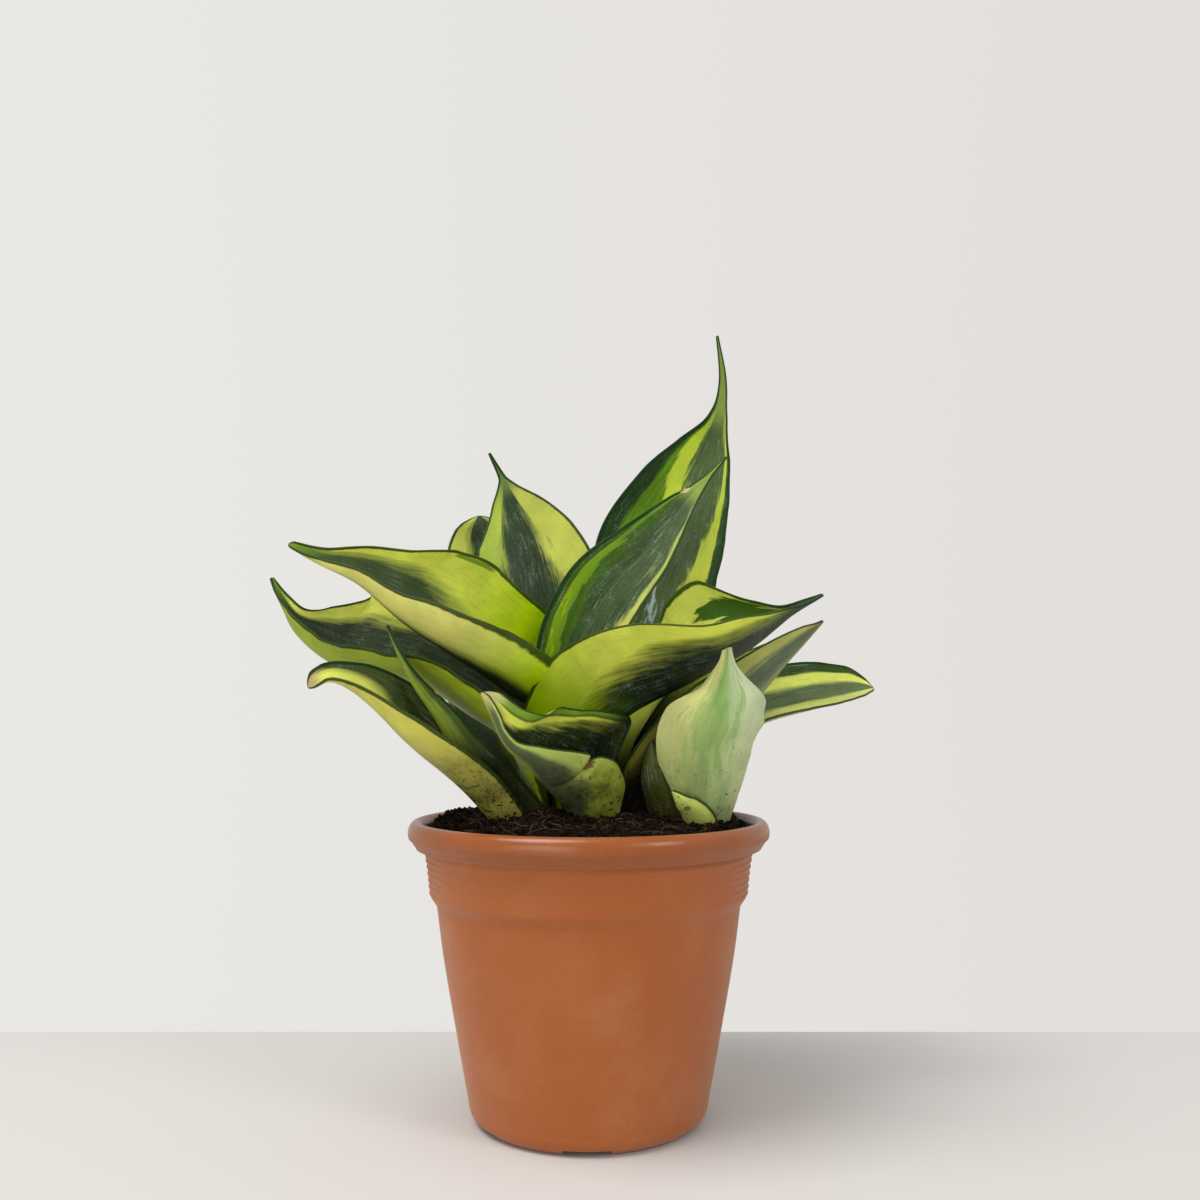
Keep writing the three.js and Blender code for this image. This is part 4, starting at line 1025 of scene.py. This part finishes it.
def make_soil(look):
    """The soil's body with its rough top, then crumbs: small lumpy balls, from 0.3 to 3.4 mm across
    and mostly small, each raised by a third of its size."""
    outline = [[0, 4.9], [20, 4.9], [33, 4.9], [38, 7.6], [52.5, 84.4], [53.6, 92.6]]
    outline += [[radius, 95.2] for radius in np.linspace(53.4, 0.6, SOIL_RINGS)] + [[0, 98.6]]

    def roughen(grid):
        rough = soil_height(grid[..., 0], grid[..., 1])
        grid[..., 2] = np.where(grid[..., 2] > 93, rough, grid[..., 2])
        return grid

    points, faces = turned(outline, SOIL_SIDES, roughen)
    points[-1, 2] = float(soil_height(np.array(0.0), np.array(0.0))) * MM
    finish = soil_finish()
    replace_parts(new_piece("potting_soil", points, faces, finish), "soil")

    rng = np.random.default_rng(12)
    ball, ball_faces = small_ball()
    places = soil_points(look.crumbs, rng)
    size = 0.2 + 1.1 * rng.random(look.crumbs) ** 4
    stretch = 0.7 + 0.6 * rng.random((look.crumbs, 3))
    grains = ball[None] * size[:, None, None] * stretch[:, None, :]
    grains = grains * (1 + 0.25 * (rng.random(grains.shape) - 0.5)) + places[:, None, :]
    grains[..., 2] += (0.3 * size)[:, None]
    faces = repeated(ball_faces, len(ball), look.crumbs)
    new_piece("soil_crumbs", grains.reshape(-1, 3) * MM, faces, finish)


def small_ball():
    """A ball of 24 faces and radius 1: two rings of 6 points and two poles."""
    angle = np.arange(CRUMB_SIDES) * TURN / CRUMB_SIDES
    rings = [np.stack([0.87 * np.cos(angle + turn), 0.87 * np.sin(angle + turn), 0 * angle + z], 1)
             for turn, z in ((0, -0.5), (0.5, 0.5))]
    return np.concatenate(rings + [[[0, 0, -1], [0, 0, 1]]]), tube_faces(2, CRUMB_SIDES)


def fibre_finish():
    """Dry root fibres: dull tan, darker in patches."""
    finish = Finish("dry_roots", Specular_IOR_Level=0.3, Roughness=0.8)
    finish.drive("Base Color", finish.mix(finish.noise(300, 3), tone("#1a100a"), tone("#6d5138")))
    finish.bump(finish.noise(2500, 2), 0.0001)
    return finish.material


def make_fibres(look):
    """Fine roots lying on and through the soil's surface: each a thin square tube along a wandering
    line, whose heading turns by a smooth random amount as it goes."""
    rng = np.random.default_rng(5)
    count, rings = look.fibres, FIBRE_RINGS
    start = soil_points(count, rng)
    length = 4 + 12 * rng.random(count) ** 2
    heading = rng.random(count)[:, None] * TURN
    heading = heading + np.cumsum(rng.normal(0, 0.35, (count, rings)), axis=1)
    step = (length / rings)[:, None]
    x = start[:, 0:1] + np.cumsum(np.cos(heading) * step, axis=1)
    y = start[:, 1:2] + np.cumsum(np.sin(heading) * step, axis=1)
    inside = np.minimum(1, 51 / np.maximum(np.hypot(x, y), 1))
    x, y = x * inside, y * inside
    arch = (0.9 * rng.random(count))[:, None] * np.sin(np.linspace(0, 3, rings))
    middle = np.stack([x, y, soil_height(x, y) + 0.3 + arch], -1)
    thick = (0.07 + 0.13 * rng.random(count) ** 2)[:, None, None]
    side = np.stack([-np.sin(heading), np.cos(heading), np.zeros_like(heading)], -1)
    up = np.array([0, 0, 1.0])
    corners = [middle + thick * (math.cos(a) * side + math.sin(a) * up)
               for a in np.arange(FIBRE_SIDES) * TURN / FIBRE_SIDES]
    ring = np.stack(corners, 2).reshape(count, rings * FIBRE_SIDES, 3)
    points = np.concatenate([ring, middle[:, :1], middle[:, -1:]], axis=1)
    faces = repeated(tube_faces(rings, FIBRE_SIDES), points.shape[1], count)
    new_piece("soil_roots", points.reshape(-1, 3) * MM, faces, fibre_finish())


def rhizome_finish():
    """Orange-brown rhizome skin with darker rings and dull scales."""
    finish = Finish("rhizome_skin", Specular_IOR_Level=0.35, Roughness=0.65)
    rings = finish.between(finish.noise(180, 4, 0.6), 0.4, 0.65)
    finish.drive("Base Color", finish.mix(rings, tone("#b8803a"), tone("#7a4f24")))
    finish.bump(finish.noise(500, 4), 0.0004)
    return finish.material


# ---- stage ----

FLOOR_SIDE, FLOOR_NEAR, FLOOR_DEEP = 1.6, -1.2, -0.02       # m
FILL_TINT = (1.0, 0.985, 0.96)
CAMERA_PLACE = (0.0037, -0.387, 0.132)                      # m
CAMERA_TILT = 5.5                                           # degrees above level
FILM_WIDTH, FOCAL_LENGTH = 36, 34.08                        # mm

# Each light: its place and its target in metres, its width in metres, its power in watts, its tint
LIGHTS = {
    "key": ((-0.52, -0.42, 1.42), (0, 0, 0.12), 0.85, 16.0, (1.0, 0.975, 0.94)),
    "fill": ((0.85, -0.75, 0.75), (0, 0, 0.1), 0.4, 3.5, (1.0, 0.98, 0.96)),
    "front": ((-0.6, -1.1, 0.3), (0, 0, 0.13), 0.7, 4.0, (1.0, 0.98, 0.95)),
}


def placed(name, data):
    thing = bpy.data.objects.new(name, data)
    bpy.context.scene.collection.objects.link(thing)
    return thing


def make_floor(stage):
    """A flat pale slab whose far edge stands just behind the pot."""
    plan = ((-1, FLOOR_NEAR), (1, FLOOR_NEAR), (1, stage.floor_depth), (-1, stage.floor_depth))
    corners = [[side * FLOOR_SIDE, y, z] for z in (FLOOR_DEEP, 0) for side, y in plan]
    mesh = bpy.data.meshes.new("floor")
    mesh.from_pydata(corners, [], [(3, 2, 1, 0), (4, 5, 6, 7), (0, 1, 5, 4), (1, 2, 6, 5),
                                   (2, 3, 7, 6), (3, 0, 4, 7)])
    finish = Finish("pale_floor", Roughness=0.7, Specular_IOR_Level=0.2)
    finish.drive("Base Color", opaque(stage.floor_colour))
    mesh.materials.append(finish.material)
    placed("floor", mesh)


def make_world(stage):
    """The wall behind: a plain pale backdrop that changes evenly from left to right, and the weaker
    even light that the room gives."""
    world = bpy.data.worlds.new("pale_wall")
    world.use_nodes = True
    nodes, links = world.node_tree.nodes, world.node_tree.links
    kinds = ("TexCoord", "SeparateXYZ", "MapRange", "Mix", "LightPath", "Mix")
    heading, split, wide, wall, seen, shown = (nodes.new("ShaderNode" + kind) for kind in kinds)
    wide.inputs["From Min"].default_value, wide.inputs["From Max"].default_value = -0.4, 0.4
    share, first, second = MIX_SOCKETS
    for node, colour in ((wall, stage.wall_left), (shown, stage.fill_level * np.array(FILL_TINT))):
        node.data_type = "RGBA"
        node.inputs[first].default_value = opaque(colour)
    wall.inputs[second].default_value = opaque(stage.wall_right)
    links.new(heading.outputs["Generated"], split.inputs[0])
    links.new(split.outputs["X"], wide.inputs["Value"])
    links.new(wide.outputs["Result"], wall.inputs[share])
    links.new(seen.outputs["Is Camera Ray"], shown.inputs[share])
    links.new(wall.outputs[MIX_RESULT], shown.inputs[second])
    links.new(shown.outputs[MIX_RESULT], nodes["Background"].inputs[0])
    bpy.context.scene.world = world


def make_light(name, place, target, size, power, colour):
    """A round soft light, turned to look at its target."""
    lamp = bpy.data.lights.new(name, "AREA")
    lamp.shape, lamp.size, lamp.energy, lamp.color = "DISK", size, power, colour
    light = placed(name, lamp)
    light.location = place
    x, y, z = np.array(target) - np.array(place)
    down = math.acos(-z / math.hypot(x, y, z))
    light.rotation_euler = (down, 0, math.atan2(y, x) - math.pi / 2)


def make_camera():
    """The camera at the photograph's angle: a little above the rim's height and tilted up."""
    camera = placed("camera", bpy.data.cameras.new("camera"))
    camera.location = CAMERA_PLACE
    camera.rotation_euler = (math.radians(90 + CAMERA_TILT), 0, 0)
    camera.data.sensor_width = FILM_WIDTH
    camera.data.lens = FOCAL_LENGTH
    camera.data.clip_start = 0.01
    bpy.context.scene.camera = camera


# ---- settings ----

def colour_setting(name, description, default):
    """A colour that the user can change."""
    return FloatVectorProperty(name=name, description=description, subtype="COLOR", default=default,
                               min=0, max=1)


class PotLook(bpy.types.PropertyGroup):
    pot_colour: colour_setting("Pot colour", "Colour of the moulded plastic", tone("#9f531c")[:3])


class SoilLook(bpy.types.PropertyGroup):
    crumbs: IntProperty(
        name="Crumbs", description="How many loose crumbs lie on the soil", default=7800, min=0)
    fibres: IntProperty(
        name="Fibres", description="How many fine roots lie on the soil", default=520, min=0)


class LeafLook(bpy.types.PropertyGroup):
    leaf_thickness: FloatProperty(
        name="Thickness", description="Thickness at the midrib", default=2.6 * MM, unit="LENGTH",
        precision=4)
    leaf_rings: IntProperty(
        name="Rings", description="Cross-sections along a leaf", default=140, min=20)
    leaf_columns: IntProperty(
        name="Columns", description="Points across one side of a leaf", default=37, min=9)


class StageLook(bpy.types.PropertyGroup):
    floor_colour: colour_setting("Floor colour", "Colour of the floor", (0.62, 0.61, 0.598))
    wall_left: colour_setting(
        "Wall, left", "Colour behind the plant on the left", tone("#e9e8e4")[:3])
    wall_right: colour_setting(
        "Wall, right", "Colour behind the plant on the right", tone("#e3dfdc")[:3])
    fill_level: FloatProperty(
        name="Fill light", description="Brightness of the even light from all round", default=0.56,
        min=0)
    floor_depth: FloatProperty(
        name="Floor depth", description="How far the floor reaches behind the pot", default=0.095,
        unit="LENGTH")


# ---- operators ----

class SNAKEPLANT_OT_stage(bpy.types.Operator):
    """Lay the floor, light it softly from the upper left and set the camera"""
    bl_idname = "snakeplant.stage"
    bl_label = "Stage"

    def execute(self, context):
        stage = context.scene.snake_stage
        make_floor(stage)
        make_world(stage)
        for name, light in LIGHTS.items():
            make_light(name, *light)
        make_camera()
        context.scene.view_settings.view_transform = "Standard"
        return {"FINISHED"}


class SNAKEPLANT_OT_pot(bpy.types.Operator):
    """Make the ribbed nursery pot"""
    bl_idname = "snakeplant.pot"
    bl_label = "Pot"

    def execute(self, context):
        make_pot(context.scene.snake_pot)
        return {"FINISHED"}


class SNAKEPLANT_OT_soil(bpy.types.Operator):
    """Fill the pot with crumbly soil and fine roots, and finish the rhizome in it"""
    bl_idname = "snakeplant.soil"
    bl_label = "Soil"

    def execute(self, context):
        look = context.scene.snake_soil
        make_soil(look)
        make_fibres(look)
        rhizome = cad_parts["rhizome"].data
        rhizome.materials.clear()
        rhizome.materials.append(rhizome_finish())
        return {"FINISHED"}


def make_leaves(leaves, sizes):
    """Every leaf of a table, each with its own seed."""
    for k, (name, own) in enumerate(leaves.items()):
        leaf = {**USUAL_LEAF, **own}
        points, faces, attributes = leaf_skin(leaf, sizes, seed=10 * k)
        finish = leaf_finish(name, leaf)
        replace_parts(new_piece("skin_of_" + name, points, faces, finish, attributes), name)


class SNAKEPLANT_OT_rosette(bpy.types.Operator):
    """Grow the rosette's banded leaves"""
    bl_idname = "snakeplant.rosette"
    bl_label = "Rosette"

    def execute(self, context):
        make_leaves(LEAVES, context.scene.snake_leaves)
        return {"FINISHED"}


class SNAKEPLANT_OT_side_shoot(bpy.types.Operator):
    """Grow the pale side shoot"""
    bl_idname = "snakeplant.side_shoot"
    bl_label = "Side shoot"

    def execute(self, context):
        make_leaves(SIDE_SHOOT, context.scene.snake_leaves)
        return {"FINISHED"}


class SNAKEPLANT_PT_panel(bpy.types.Panel):
    bl_idname = "SNAKEPLANT_PT_panel"
    bl_label = "Potted snake plant"
    bl_space_type = "VIEW_3D"
    bl_region_type = "UI"
    bl_category = "Snake plant"

    def draw(self, context):
        for operator in OPERATORS:
            self.layout.operator(operator.bl_idname)
        for name in SETTINGS:
            group = getattr(context.scene, name)
            for key in group.__annotations__:
                self.layout.prop(group, key)


SETTINGS = {"snake_pot": PotLook, "snake_soil": SoilLook, "snake_leaves": LeafLook,
            "snake_stage": StageLook}
OPERATORS = [SNAKEPLANT_OT_stage, SNAKEPLANT_OT_pot, SNAKEPLANT_OT_soil, SNAKEPLANT_OT_rosette,
             SNAKEPLANT_OT_side_shoot]
CLASSES = [*SETTINGS.values(), *OPERATORS, SNAKEPLANT_PT_panel]


def register():
    for kind in CLASSES:
        bpy.utils.register_class(kind)
    for name, kind in SETTINGS.items():
        setattr(bpy.types.Scene, name, PointerProperty(type=kind))


def unregister():
    for name in SETTINGS:
        delattr(bpy.types.Scene, name)
    for kind in reversed(CLASSES):
        bpy.utils.unregister_class(kind)


def main():
    register()
    bpy.ops.snakeplant.stage()
    bpy.ops.snakeplant.pot()
    bpy.ops.snakeplant.soil()
    bpy.ops.snakeplant.rosette()
    bpy.ops.snakeplant.side_shoot()


if __name__ == "__main__":
    main()
